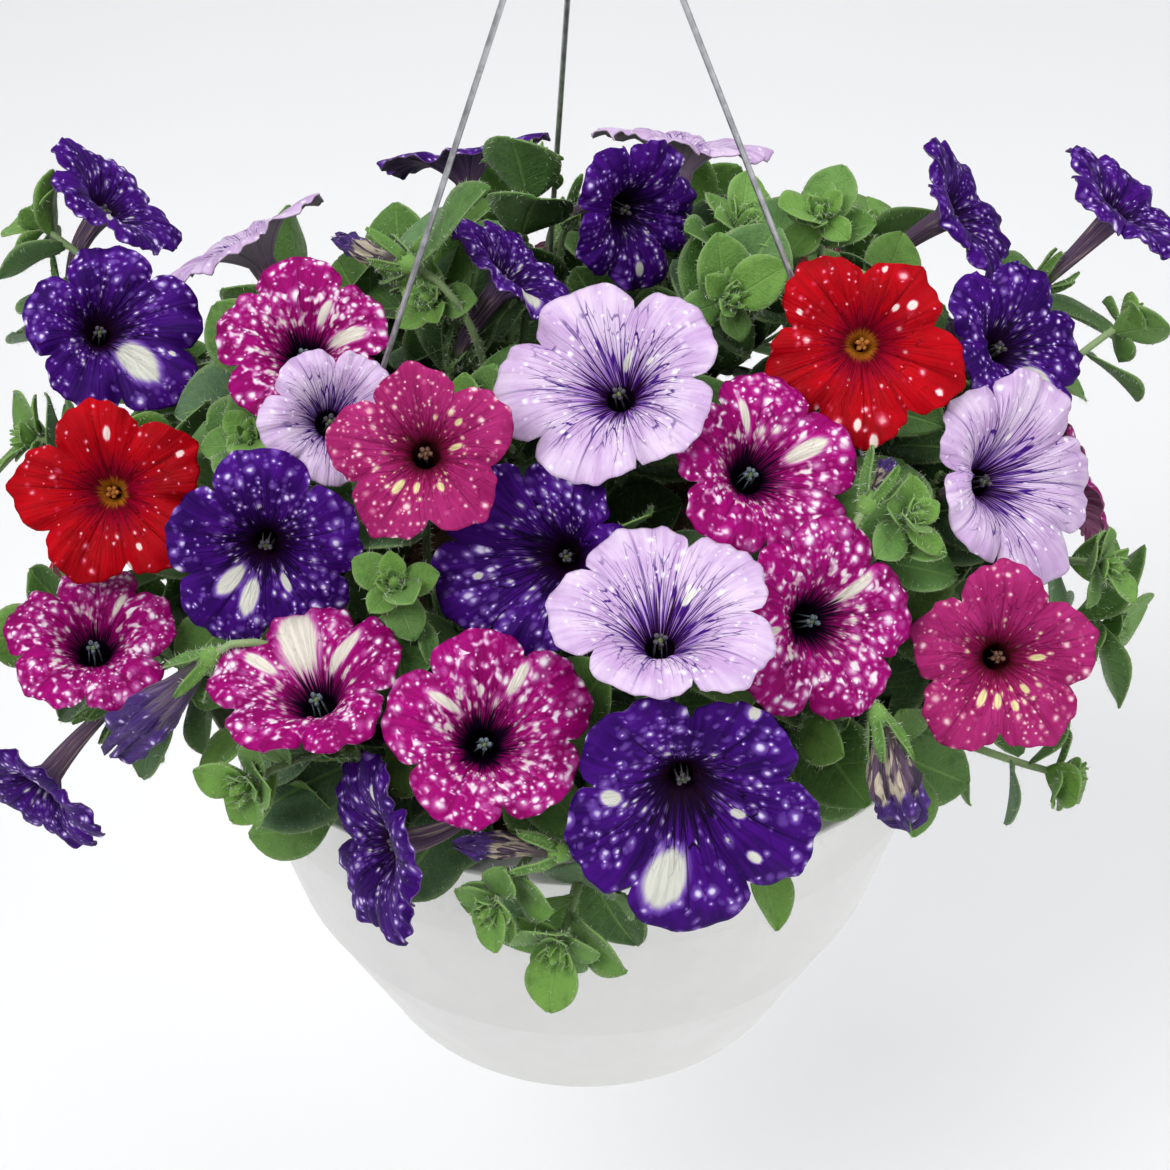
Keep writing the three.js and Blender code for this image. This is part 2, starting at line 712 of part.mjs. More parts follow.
function potGeometry() {
  const low = RIM_Z - POT_HEIGHT;
  const wall = RIM_RADIUS - 9;
  const profile = [
    [0, low],
    [POT_BASE_RADIUS, low],
    [wall - 19, low + POT_HEIGHT * 0.36],
    [wall - 4, low + POT_HEIGHT * 0.72],
    [wall + 1, RIM_Z - 2.4],
    [RIM_RADIUS, RIM_Z - 2.4],
    [RIM_RADIUS, RIM_Z],
    [wall - WALL + 1, RIM_Z],
    [wall - 4 - WALL, low + POT_HEIGHT * 0.72],
    [wall - 19 - WALL, low + POT_HEIGHT * 0.36],
    [POT_BASE_RADIUS - 1, low + WALL + 1],
    [0, low + WALL + 1],
  ];
  const holes = wireTurns.map((angle) => {
    const at = outwardAt(angle).multiplyScalar(WIRE_HOLE_AT);
    return toSolid(peg(WIRE_HOLE_RADIUS, at.x, at.y, RIM_Z - 6, RIM_Z + 3));
  });
  return toGeometry(holes.reduce((pot, hole) => pot.subtract(hole), toSolid(turned(profile, 26))));
}

function soilGeometry() {
  const low = RIM_Z - POT_HEIGHT;
  const wall = RIM_RADIUS - 9 - WALL - GAP - 0.3;
  const top = RIM_Z - SOIL_DROP;
  const profile = [
    [0, low + WALL + 1 + GAP],
    [POT_BASE_RADIUS - 1.8, low + WALL + 1 + GAP],
    [wall - 19.4, low + POT_HEIGHT * 0.36],
    [wall - 4.4, low + POT_HEIGHT * 0.72],
    [wall - 2.2, top],
    [0, top + 2],
  ];
  const cells = Array.from({ length: CROWN_CELLS + OUTER_CELLS }, (_, cell) => stemOf(cell));
  return toGeometry(cells.reduce((soil, { root }) => soil.subtract(toSolid(
    peg(STEM_HOLE_RADIUS, root.x, root.y, root.z - STEM_DEPTH - GAP, root.z + 6),
  )), toSolid(turned(profile, 20))));
}

// ---------------------------------------------------------------- hanger
// One strand: its foot goes down through the rim and turns up round the flange's edge,
// its top goes up through the plate and turns down over the plate's edge
function wireGeometry(angle) {
  const out = outwardAt(angle);
  const at = (r, z) => out.clone().multiplyScalar(r).setZ(z);
  const hole = WIRE_HOLE_AT;
  const edge = RIM_RADIUS + WIRE_RADIUS + GAP;
  const flange = RIM_Z - 2.4;
  const under = flange - WIRE_RADIUS - GAP;
  const plate = PLATE_RADIUS - 3.6;
  const over = PLATE_Z + PLATE_THICK + WIRE_RADIUS + GAP;
  const lip = PLATE_RADIUS + WIRE_RADIUS + GAP;
  const footTop = at(hole - 2, RIM_Z + 9);
  const headFoot = at(plate + 1.6, PLATE_Z - 9);
  const foot = new THREE.CatmullRomCurve3([
    at(edge + 0.3, RIM_Z + 1.5),
    at(edge + 0.2, flange),
    at(edge - 1.2, under + 0.1),
    at((hole + edge) / 2, under),
    at(hole + 0.9, under + 0.1),
    at(hole, flange + 1),
    at(hole, RIM_Z + 3),
    footTop,
  ], false, 'centripetal');
  const head = new THREE.CatmullRomCurve3([
    headFoot,
    at(plate, PLATE_Z - 2.5),
    at(plate, PLATE_Z + PLATE_THICK / 2),
    at(plate + 0.7, over),
    at((plate + lip) / 2 + 0.3, over + 0.2),
    at(lip - 0.2, over - 0.4),
    at(lip + 0.3, PLATE_Z + 0.5),
    at(lip + 0.3, PLATE_Z - 1.5),
  ], false, 'centripetal');
  const run = headFoot.clone().sub(footTop).normalize();
  const strand = new THREE.LineCurve3(
    footTop.clone().addScaledVector(run, -0.8),
    headFoot.clone().addScaledVector(run, 0.8),
  );
  return toGeometry(fuse([
    tube(foot, WIRE_RADIUS, 4, 12),
    tube(strand, WIRE_RADIUS, 4, 1),
    tube(head, WIRE_RADIUS, 4, 11),
  ]));
}

function hookGeometry() {
  const R = CROOK_RADIUS;
  const centre = HOOK_RADIUS - R;
  const crook = Array.from({ length: 13 }, (_, i) => {
    const angle = THREE.MathUtils.degToRad(-25 + (245 * i) / 12);
    return new THREE.Vector3(R * Math.cos(angle), 0, centre + R * Math.sin(angle));
  });
  const shank = [[-5.2, -12.6], [-1.3, -17], [0, -23], [0, -40]].map(([x, z]) => (
    new THREE.Vector3(x, 0, centre + z)
  ));
  const path = new THREE.CatmullRomCurve3([
    ...crook,
    ...shank,
    new THREE.Vector3(0, 0, PLATE_Z + 1),
  ], false, 'centripetal');
  const plate = peg(PLATE_RADIUS, 0, 0, PLATE_Z, PLATE_Z + PLATE_THICK, 18);
  const knob = peg(3.2, 0, 0, PLATE_Z - 2.5, PLATE_Z + 1, 8);
  const holes = wireTurns.map((angle) => {
    const at = outwardAt(angle).multiplyScalar(PLATE_RADIUS - 3.6);
    return toSolid(peg(1.5, at.x, at.y, PLATE_Z - 5, PLATE_Z + PLATE_THICK + 5));
  });
  const body = fuse([tube(path, HOOK_RADIUS, 6, 28), plate, knob]);
  return toGeometry(holes.reduce((hook, hole) => hook.subtract(hole), body));
}

// ---------------------------------------------------------------- the whole object
const CELL_NAMES = [
  'crown_front', 'crown_back_right', 'crown_back_left',
  'front_left', 'front', 'front_right', 'right_front', 'right_back', 'back_right',
  'back_left', 'left_back', 'left_front',
];

const group = new THREE.Group();

function place(name, geometry, look) {
  const mesh = new THREE.Mesh(geometry, look);
  mesh.name = name;
  group.add(mesh);
}

place('basket', potGeometry(), material(COLOURS.pot, 0.4));
place('soil', soilGeometry(), material(COLOURS.soil, 0.95));
place('hanger_hook', hookGeometry(), material(COLOURS.steel, 0.35, 0.9));
wireTurns.forEach((angle, i) => {
  place(`hanger_wire_${i + 1}`, wireGeometry(angle), material(COLOURS.steel, 0.35, 0.9));
});

CELL_NAMES.forEach((name, cell) => {
  place(`leafy_stems_${name}`, leafyStems(cell), material(COLOURS.leaf, 0.75));
});

const counts = {};
blooms.forEach((bloom) => {
  counts[bloom.colour] = (counts[bloom.colour] ?? 0) + 1;
  const name = `bloom_${bloom.colour}_${String(counts[bloom.colour]).padStart(2, '0')}`;
  place(name, bloomGeometry(bloom), material(COLOURS[bloom.colour], 0.6));
});

buds.forEach((bud, i) => {
  place(`furled_bloom_${i + 1}`, furledGeometry(bud), material(COLOURS[bud.colour], 0.7));
});

export default group;
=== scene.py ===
"""A petunia hanging basket in full bloom: speckled trumpet blooms on a mound of leafy
stems, over a plain white pot on three wires and a hook.

Laid out as an add-on: property groups hold the sizes and colours, one operator makes each
group of pieces, and main() calls them in order. The layout is worked out in millimetres in
the model's own frame, and every mesh is made in metres.
"""

import math

import bpy
import numpy as np
from bpy.props import FloatProperty, FloatVectorProperty, IntProperty, PointerProperty
from bpy.types import Operator, Panel, PropertyGroup
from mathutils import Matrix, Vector


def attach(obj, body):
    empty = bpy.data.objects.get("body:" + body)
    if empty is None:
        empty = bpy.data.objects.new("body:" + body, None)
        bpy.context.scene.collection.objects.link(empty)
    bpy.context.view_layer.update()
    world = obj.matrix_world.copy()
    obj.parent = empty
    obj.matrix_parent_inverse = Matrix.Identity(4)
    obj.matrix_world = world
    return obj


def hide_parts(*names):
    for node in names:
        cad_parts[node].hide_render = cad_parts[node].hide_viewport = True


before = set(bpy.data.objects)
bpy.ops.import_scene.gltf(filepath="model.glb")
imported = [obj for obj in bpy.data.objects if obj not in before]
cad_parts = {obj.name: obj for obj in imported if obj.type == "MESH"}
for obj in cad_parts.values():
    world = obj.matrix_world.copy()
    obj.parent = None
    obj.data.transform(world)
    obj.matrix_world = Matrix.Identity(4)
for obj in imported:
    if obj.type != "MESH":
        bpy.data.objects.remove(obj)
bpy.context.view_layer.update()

bl_info = {
    "name": "Petunia hanging basket",
    "version": (1, 0, 0),
    "blender": (4, 5, 0),
    "location": "View3D > Sidebar > Petunias",
    "description": "Makes a hanging basket of speckled petunias round its packed frame",
    "category": "Add Mesh",
}

MM = 0.001
BODY = "root"

# ---------------------------------------------------------------- sizes, in millimetres
RIM_Z = -350.0
RIM_RADIUS = 127.0
POT_HEIGHT = 152.0
POT_BASE_RADIUS = 74.0
POT_FOOT_Z = RIM_Z - POT_HEIGHT
POT_INSET = 9.0
POT_STEPS = (0.36, 0.72)
WALL = 2.2
SOIL_DROP = 16.0
WIRE_RADIUS = 0.9
WIRE_HOLE_RADIUS = 2.1
WIRE_HOLE_AT = 122.3
HOOK_RADIUS = 1.7
CROOK_RADIUS = 13.7
PLATE_RADIUS = 10.5
PLATE_THICK = 2.0
PLATE_Z = -72.0
GAP = 0.3

DOME_CENTRE = np.array([0.0, 0.0, RIM_Z + 15.0])
DOME_REACH = np.array([168.0, 160.0, 125.0])

EYE_RISE = math.radians(40)
EYE_REACH = 850.0
AIM = np.array([0.0, -107.0, RIM_Z + 95.0])
MIDDLE = 585.0
UNITS_PER_MM = 3.656

CROWN_RADIUS = 62.0
CELL_MARGIN = 1.7
OUTER_CELLS = 9
CROWN_CELLS = 3
FIRST_EDGE = -53.0
CELL_NAMES = (
    "crown_front", "crown_back_right", "crown_back_left",
    "front_left", "front", "front_right", "right_front", "right_back", "back_right",
    "back_left", "left_back", "left_front",
)

STALK_RADIUS = 1.15
STEM_RADIUS = 2.3
STEM_DEPTH = 24.0
GOLDEN_TURN = 137.5
STEM_STEPS = 4
STALK_STEPS = 3
THROAT_DEPTH = 10.0
TUBE_BEND = 24.0
TUBE_END = 14.0
CALYX_FLOOR = 5.0

# A stem's way out in the soil, and where its stalks part: how far out and over the rim
CROWN_STEM = (22.0, 30.0, 50.0)
OUTER_STEM = (84.0, 96.0, 20.0)

# Blooms on the front: colour, place across and down in the view, nearness, diameter,
# degrees that it looks right and up, where its first lobe points, and how far right and up
# its throat lies; then its pale blotches, each by its turn from the right, its share of the
# radius, length and width
FRONT_BLOOMS = (
    ("purple", 116, 329, 0, 58, 14, 18, 98, (-4.6, 1.5),
     ((-52, 0.42, 0.66, 0.38), (-20, 0.66, 0.1, 0.07))),
    ("magenta", 302, 340, 0, 53, 0, 22, 95, (0, -1.2),
     ((10, 0.5, 0.5, 0.2), (60, 0.45, 0.3, 0.12))),
    ("lavender", 333, 415, 6, 41, 10, 10, 51, (0, 0), ()),
    ("rose", 421, 452, 16, 53, 0, 5, 97, (0.8, 0.6),
     ((-125, 0.42, 0.2, 0.09), (-98, 0.36, 0.14, 0.07), (-60, 0.4, 0.12, 0.08),
      (12, 0.36, 0.16, 0.07), (40, 0.5, 0.1, 0.07))),
    ("red", 109, 494, 10, 59, 0, 0, 103, (0, 0.8),
     ((92, 0.6, 0.16, 0.08), (-35, 0.84, 0.14, 0.08), (-22, 0.78, 0.1, 0.06),
      (-75, 0.74, 0.12, 0.07), (30, 0.8, 0.1, 0.07), (-60, 0.6, 0.09, 0.06))),
    ("red", 864, 349, 10, 60, 0, 0, 126, (0, 2),
     ((42, 0.62, 0.12, 0.09), (52, 0.5, 0.1, 0.06), (-95, 0.72, 0.14, 0.08),
      (-84, 0.88, 0.16, 0.09), (-30, 0.82, 0.1, 0.07), (150, 0.7, 0.08, 0.06),
      (75, 0.78, 0.08, 0.06))),
    ("purple", 263, 553, -2, 58, 0, -20, 90, (0, 0),
     ((-137, 0.46, 0.36, 0.2), (-108, 0.5, 0.38, 0.18), (-60, 0.4, 0.2, 0.08))),
    ("purple", 530, 556, -18, 58, -10, 0, 60, (9, 0),
     ((200, 0.55, 0.12, 0.08), (-50, 0.6, 0.1, 0.08))),
    ("lavender", 607, 380, 2, 64, -12, 22, 108, (2, -0.9),
     ((58, 0.3, 0.2, 0.07), (30, 0.42, 0.1, 0.05))),
    ("lavender", 664, 608, 10, 62, 0, 38, 108, (-1, -5.3),
     ((42, 0.3, 0.2, 0.08), (75, 0.5, 0.1, 0.05))),
    ("magenta", 767, 466, -6, 56, 15, 18, 90, (-2.6, 0),
     ((28, 0.5, 0.45, 0.2), (110, 0.6, 0.4, 0.1))),
    ("magenta", 826, 621, -4, 58, 28, 0, 80, (0, 0), ((40, 0.5, 0.5, 0.12), (190, 0.6, 0.3, 0.1))),
    ("magenta", 490, 727, 4, 57, 8, 12, 100, (-0.8, -3.5),
     ((60, 0.55, 0.4, 0.12), (150, 0.5, 0.4, 0.1))),
    ("magenta", 303, 676, 2, 55, -15, 40, 90, (2, -2.9),
     ((100, 0.56, 0.8, 0.44), (40, 0.5, 0.5, 0.16), (150, 0.55, 0.4, 0.16))),
    ("magenta", 90, 636, 4, 52, 0, 36, 90, (0, 1), ((60, 0.55, 0.3, 0.1),)),
    ("purple", 691, 815, 8, 72, 5, -22, 126, (-1.6, 7.5),
     ((-109, 0.58, 0.54, 0.34), (166, 0.62, 0.18, 0.14), (59, 0.92, 0.12, 0.1),
      (-6, 0.37, 0.14, 0.08), (-38, 0.62, 0.14, 0.09))),
    ("purple", 370, 850, -4, 58, -66, -10, 90, (0, 0), ((90, 0.6, 0.2, 0.1),)),
    ("purple", 30, 800, 6, 52, -50, -48, 90, (0, 0), ()),
    ("purple", 1022, 340, -10, 53, 34, 15, 80, (-3, -0.7), ((-60, 0.5, 0.46, 0.34),)),
    ("lavender", 1022, 477, 4, 63, 36, 5, 72, (-8, -1), ()),
    ("rose", 1003, 661, 4, 58, 0, 0, 88, (-0.5, 1),
     ((-118, 0.42, 0.2, 0.08), (-96, 0.4, 0.16, 0.08), (-74, 0.46, 0.12, 0.08),
      (-50, 0.36, 0.12, 0.07), (5, 0.36, 0.16, 0.07))),
    ("purple", 118, 196, -28, 52, 62, 40, 90, (0, 0), ((-90, 0.6, 0.2, 0.1),)),
    ("purple", 640, 215, -16, 48, 42, -18, 60, (0, 0), ((-90, 0.7, 0.2, 0.14),)),
    ("purple", 520, 265, -10, 44, 55, 42, 100, (0, 0), ((-70, 0.6, 0.5, 0.34),)),
    ("purple", 970, 205, -4, 52, 62, 24, 90, (0, 0), ()),
    ("purple", 1130, 200, -6, 52, 52, 40, 80, (0, 0), ()),
)

# Blooms round the back: colour, turn, rise, proud, diameter, first lobe, blotches
BACK_BLOOMS = (
    ("magenta", 104, 0, 0, 54, 90, ((30, 0.55, 0.4, 0.14),)),
    ("purple", 130, 0, 0, 60, 90, ((-70, 0.55, 0.45, 0.22),)),
    ("red", 153, 10, 2, 58, 100, ((-60, 0.8, 0.12, 0.06),)),
    ("lavender", 164, 46, 0, 62, 80, ()),
    ("rose", 177, 2, 2, 56, 95, ((-120, 0.6, 0.2, 0.06),)),
    ("purple", 198, 38, 0, 58, 90, ((-110, 0.5, 0.4, 0.2), (40, 0.6, 0.14, 0.1))),
    ("magenta", 204, 2, 2, 57, 85, ((80, 0.55, 0.4, 0.16),)),
    ("lavender", 232, 34, 0, 60, 100, ()),
    ("red", 262, -5, 2, 58, 90, ((120, 0.75, 0.12, 0.06),)),
)

# Furled blooms: colour, base across and down, tip across and down, nearness, girth
FURLED = (
    ("wilted", 880, 724, 907, 816, -8, 17),
    ("purple", 205, 662, 122, 742, 4, 17),
    ("wilted", 548, 852, 466, 846, -1, 8.5),
    ("wilted", 402, 262, 342, 240, 4, 7.5),
    ("wilted", 872, 494, 890, 462, 2, 7),
)

# Leafy shoots on the front: tip across and down, nearness, number of leaves and the
# length of the largest
FRONT_SHOOTS = (
    (245, 785, 6, 6, 24), (492, 905, 6, 4, 20), (558, 948, 0, 6, 30), (1066, 775, 2, 4, 22),
    (1106, 565, 0, 4, 22), (912, 520, -2, 5, 24), (742, 222, -6, 4, 24), (820, 215, -8, 4, 26),
    (430, 300, -12, 6, 38), (730, 300, -16, 5, 38), (38, 225, -34, 4, 28), (30, 440, -12, 4, 28),
    (250, 440, -16, 4, 32), (1128, 320, -4, 4, 26), (395, 585, -12, 4, 28),
)

# Leafy shoots round the back: turn, rise, proud of the mound, leaves, largest leaf
BACK_SHOOTS = (
    (86, -8, 0, 4, 37), (117, 10, 2, 4, 37), (138, 30, -6, 4, 37), (142, -6, 0, 4, 37),
    (165, 20, -4, 4, 37), (190, -6, 0, 4, 37), (190, 18, -6, 4, 37), (218, 10, 0, 4, 37),
    (232, -6, 0, 4, 37), (277, -6, 0, 4, 37), (195, 68, -4, 5, 37),
)


# ---------------------------------------------------------------- layout
def vec(x, y, z):
    return np.array([float(x), float(y), float(z)])


def unit(v):
    return v / np.linalg.norm(v)


def spoke(a, b, angle):
    """A way round an axis, from two ways across it."""
    return a * math.cos(angle) + b * math.sin(angle)


def leant(along, out, angle):
    """The way and the face of a leaf that leans out from its stalk."""
    way = along * math.cos(angle) + out * math.sin(angle)
    return way, along * math.sin(angle) - out * math.cos(angle)


UP = vec(0, 0, 1)
EYE_FORWARD = vec(0, math.cos(EYE_RISE), -math.sin(EYE_RISE))
EYE_UP = vec(0, math.sin(EYE_RISE), math.cos(EYE_RISE))
EYE_RIGHT = vec(1, 0, 0)


def seen_at(across, down, nearness):
    """The point of the mound that is seen at a place in the view."""
    eye = AIM - EYE_REACH * EYE_FORWARD
    sight = (
        EYE_FORWARD
        + EYE_RIGHT * ((across - MIDDLE) / UNITS_PER_MM / EYE_REACH)
        + EYE_UP * ((MIDDLE - down) / UNITS_PER_MM / EYE_REACH)
    )
    start = (eye - DOME_CENTRE) / DOME_REACH
    along = sight / DOME_REACH
    a = along @ along
    b = start @ along
    root = math.sqrt(max(0.0, b * b - a * (start @ start - 1)))
    return eye + sight * ((-b - root) / a - nearness)


def on_dome(turn, rise, proud):
    """A point of the mound by its turn and rise, and its outward way."""
    t, r = math.radians(turn), math.radians(rise)
    way = vec(math.cos(r) * math.sin(t), -math.cos(r) * math.cos(t), math.sin(r))
    outward = unit(way / DOME_REACH)
    return way * DOME_REACH + DOME_CENTRE + outward * proud, outward


def cell_of(point):
    turn = (math.degrees(math.atan2(point[0], -point[1])) - FIRST_EDGE + 360) % 360
    if math.hypot(point[0], point[1]) < CROWN_RADIUS:
        return int(turn // (360 / CROWN_CELLS))
    return CROWN_CELLS + int(turn // (360 / OUTER_CELLS))


def cell_middle(cell):
    """The turn of a cell's middle and half its width, in radians."""
    crown = cell < CROWN_CELLS
    width = 360 / (CROWN_CELLS if crown else OUTER_CELLS)
    index = cell if crown else cell - CROWN_CELLS
    return math.radians(FIRST_EDGE + width * (index + 0.5)), math.radians(width / 2)


def inside_cell(cell, points):
    """Which points lie in a cell, with the margin to its neighbours."""
    middle, half = cell_middle(cell)
    x, y = points[:, 0], points[:, 1]
    ahead = x * math.sin(middle) - y * math.cos(middle)
    aside = np.abs(x * math.cos(middle) + y * math.sin(middle))
    wedge = ahead * math.sin(half) - aside * math.cos(half) >= CELL_MARGIN
    radius = np.hypot(x, y)
    if cell < CROWN_CELLS:
        return wedge & (radius < CROWN_RADIUS - CELL_MARGIN)
    return wedge & (radius > CROWN_RADIUS + CELL_MARGIN)


def stem_of(cell):
    """Where a cell's stem stands in the soil, and where its flower stalks part."""
    root_out, hub_out, hub_rise = CROWN_STEM if cell < CROWN_CELLS else OUTER_STEM
    middle, _ = cell_middle(cell)
    outward = vec(math.sin(middle), -math.cos(middle), 0)
    root = outward * root_out + UP * (RIM_Z - SOIL_DROP)
    return root, outward * hub_out + UP * (RIM_Z + hub_rise)


def bloom_frame(place, facing, right, diameter, roll):
    """Everything that a bloom's shape and its stalk are worked out from."""
    bend = place - TUBE_BEND * facing
    _, hub = stem_of(cell_of(bend))
    back = unit(-facing + 0.8 * unit(hub - bend))
    base = bend + TUBE_END * back
    u = unit(right - (right @ facing) * facing)
    return {
        "place": place, "facing": facing, "back": back, "bend": bend, "base": base,
        "u": u, "radius": diameter / 2, "roll": roll, "cell": cell_of(base),
    }


def front_bloom(row):
    colour, across, down, nearness, diameter, yaw, pitch, roll, shift, blotches = row
    y, p = math.radians(yaw), math.radians(pitch)
    facing = (
        -EYE_FORWARD * (math.cos(y) * math.cos(p))
        + EYE_RIGHT * (math.sin(y) * math.cos(p))
        + EYE_UP * math.sin(p)
    )
    bloom = bloom_frame(seen_at(across, down, nearness), facing, EYE_RIGHT, diameter, roll)
    return {**bloom, "colour": colour, "shift": shift, "blotches": blotches}


def back_bloom(row):
    colour, turn, rise, proud, diameter, roll, blotches = row
    place, outward = on_dome(turn, rise, proud)
    t = math.radians(turn)
    right = vec(math.cos(t), math.sin(t), 0)
    bloom = bloom_frame(place, unit(outward + vec(0, 0, 0.25)), right, diameter, roll)
    return {**bloom, "colour": colour, "shift": (0, 0), "blotches": blotches}


def furled_bloom(row):
    colour, x0, y0, x1, y1, nearness, girth = row
    base = seen_at(x0, y0, nearness)
    run = seen_at(x1, y1, nearness + 4) - base
    length = np.linalg.norm(run)
    facing = run / length
    side = unit(np.cross(UP, facing))
    return {
        "colour": colour, "base": base, "facing": facing, "back": -facing, "length": length,
        "girth": girth, "u": side, "v": np.cross(facing, side), "cell": cell_of(base),
    }


def catmull(points, t):
    """A point of the centripetal curve through the points."""
    span = (len(points) - 1) * t
    i = min(int(span), len(points) - 2)
    w = span - i
    p1, p2 = points[i], points[i + 1]
    p0 = points[i - 1] if i > 0 else 2 * points[0] - points[1]
    p3 = points[i + 2] if i + 2 < len(points) else 2 * points[-1] - points[-2]
    d0, d1, d2 = (math.sqrt(np.linalg.norm(b - a)) for a, b in ((p0, p1), (p1, p2), (p2, p3)))
    t1 = ((p1 - p0) / d0 - (p2 - p0) / (d0 + d1) + (p2 - p1) / d1) * d1
    t2 = ((p2 - p1) / d1 - (p3 - p1) / (d1 + d2) + (p3 - p2) / d2) * d1
    c2 = -3 * p1 + 3 * p2 - 2 * t1 - t2
    c3 = 2 * p1 - 2 * p2 + t1 + t2
    return p1 + t1 * w + c2 * w * w + c3 * w ** 3


def bezier(points, t):
    a, b, c, d = points
    s = 1 - t
    return a * s ** 3 + b * (3 * s * s * t) + c * (3 * s * t * t) + d * t ** 3


def spaced(curve, points, count, fine=200):
    """Points at even steps of length along a curve."""
    line = np.array([curve(points, i / fine) for i in range(fine + 1)])
    length = np.concatenate([[0], np.cumsum(np.linalg.norm(np.diff(line, axis=0), axis=1))])
    at = np.linspace(0, length[-1], count + 1)
    t = np.interp(at, length, np.linspace(0, 1, fine + 1))
    return np.array([curve(points, s) for s in t])


def path_length(curve, points):
    line = spaced(curve, points, 60)
    return np.linalg.norm(np.diff(line, axis=0), axis=1).sum()


def stem_points(cell):
    root, hub = stem_of(cell)
    middle = root + 0.35 * (hub - root)
    return [root - STEM_DEPTH * UP, root, vec(root[0], root[1], middle[2]), hub]


def stalk_points(cell, share, end, back):
    """A stalk leaves its stem lower or higher by its share, and ends against its calyx."""
    spine = spaced(catmull, stem_points(cell), STEM_STEPS)
    start = spine[STEM_STEPS - 2] * (1 - share) + spine[STEM_STEPS] * share
    reach = np.linalg.norm(end - start) * 0.3
    way = unit(unit(end - start) + 0.2 * UP)
    return [start, start + way * reach, end + back * reach, end]


# ---------------------------------------------------------------- what is clear of what
FACE_CLEAR = 13.0
TUBE_CLEAR = 8.5
BEND_CLEAR = 6.5
CALYX_CLEAR = 8.8
BACK_CLEAR = 2.5
SOIL_EDGE = 113.0


def near_segment(points, a, b):
    run = b - a
    s = np.clip((points - a) @ run / (run @ run), 0, 1)
    return np.linalg.norm(points - a - s[:, None] * run, axis=1)


def touches_bloom(points, bloom):
    place, facing, radius = bloom["place"], bloom["facing"], bloom["radius"]
    rel = points - place
    z = rel @ facing
    r = np.sqrt(np.maximum(0, (rel * rel).sum(axis=1) - z * z))
    middle = radius * 0.52
    behind = np.where(
        r < middle,
        -THROAT_DEPTH + (THROAT_DEPTH - 4) * np.maximum(0, r - 6) / (middle - 6),
        -4 + (r - middle) / (radius - middle),
    )
    touch = (r < radius * 1.04 + 2) & (z < FACE_CLEAR) & (z > behind - BACK_CLEAR)
    base, back, bend = bloom["base"], bloom["back"], bloom["bend"]
    touch |= near_segment(points, place - 8 * facing, bend) < TUBE_CLEAR
    touch |= near_segment(points, bend, base + 8 * back) < BEND_CLEAR
    return touch | (near_segment(points, base, base - 8 * back) < CALYX_CLEAR)


def touches_furled(points, bud):
    tip = bud["base"] + bud["facing"] * bud["length"] * 1.2
    clear = max(CALYX_CLEAR, bud["girth"] * 0.5 + BACK_CLEAR)
    return near_segment(points, bud["base"], tip) < clear


def clear_of_pot(points):
    radius = np.hypot(points[:, 0], points[:, 1])
    z = points[:, 2]
    inside = (radius >= SOIL_EDGE) | (z > RIM_Z - SOIL_DROP + 2)
    over = (radius < SOIL_EDGE) | (radius >= RIM_RADIUS + 3) | (z > RIM_Z + 3.5)
    return inside & over


# ---------------------------------------------------------------- leaves in the layout
# The turns and sizes that a leaf tries, and the length from which it is tested more finely
LEAF_TRIES = (
    (0, 1), (22, 1), (-22, 1), (45, 0.9), (-45, 0.9), (0, 0.75), (70, 0.8), (-70, 0.8),
)
BIG_LEAF = 37.5


def leaf_test_points(foot, along, face, length, width):
    """The few points of a leaf that its clearance is tested on."""
    across = np.cross(along, face)
    if length > BIG_LEAF:
        rows = ((0.26, 0.62), (0.52, 1.0), (0.78, 0.68))
    else:
        rows = ((0.34, 0.8), (0.68, 0.92))
    spots = [(0, 0)] + [(s, w * side) for s, w in rows for side in (-1, 0, 1)] + [(1, 0)]
    points = []
    for s, side in spots:
        droop = -0.16 * length * s * s + 0.1 * length * s
        lift = droop + abs(side) * width * 0.1
        points.append(foot + along * length * s + across * side * width * 0.5 + face * lift)
    return np.array(points)


def grow_leaf(cell, near, line, at, turn, pitch, length, slim, young):
    """A leaf on a stalk, at the first turn and size that is clear; None where none is."""
    blooms, buds = near
    steps = len(line) - 1
    step = min(int(at * steps), steps - 1)
    foot = line[step] + (line[step + 1] - line[step]) * (at * steps - step)
    along = unit(line[step + 1] - line[step])
    level = UP if abs(along[2]) < 0.9 else vec(0, 1, 0)
    u = unit(np.cross(level, along))
    v = np.cross(along, u)
    lean = math.radians(pitch)
    for twist, size in LEAF_TRIES:
        way, face = leant(along, spoke(u, v, math.radians(turn + twist)), lean)
        big = length * size
        points = leaf_test_points(foot, way, face, big, big * slim)
        far = points[np.linalg.norm(points - foot, axis=1) >= 4]
        if not (inside_cell(cell, far).all() and clear_of_pot(far).all()):
            continue
        if any(touches_bloom(far, b).any() for b in blooms):
            continue
        if any(touches_furled(far, b).any() for b in buds):
            continue
        return {
            "foot": foot, "along": way, "face": face, "length": big, "width": big * slim,
            "young": young,
        }
    return None


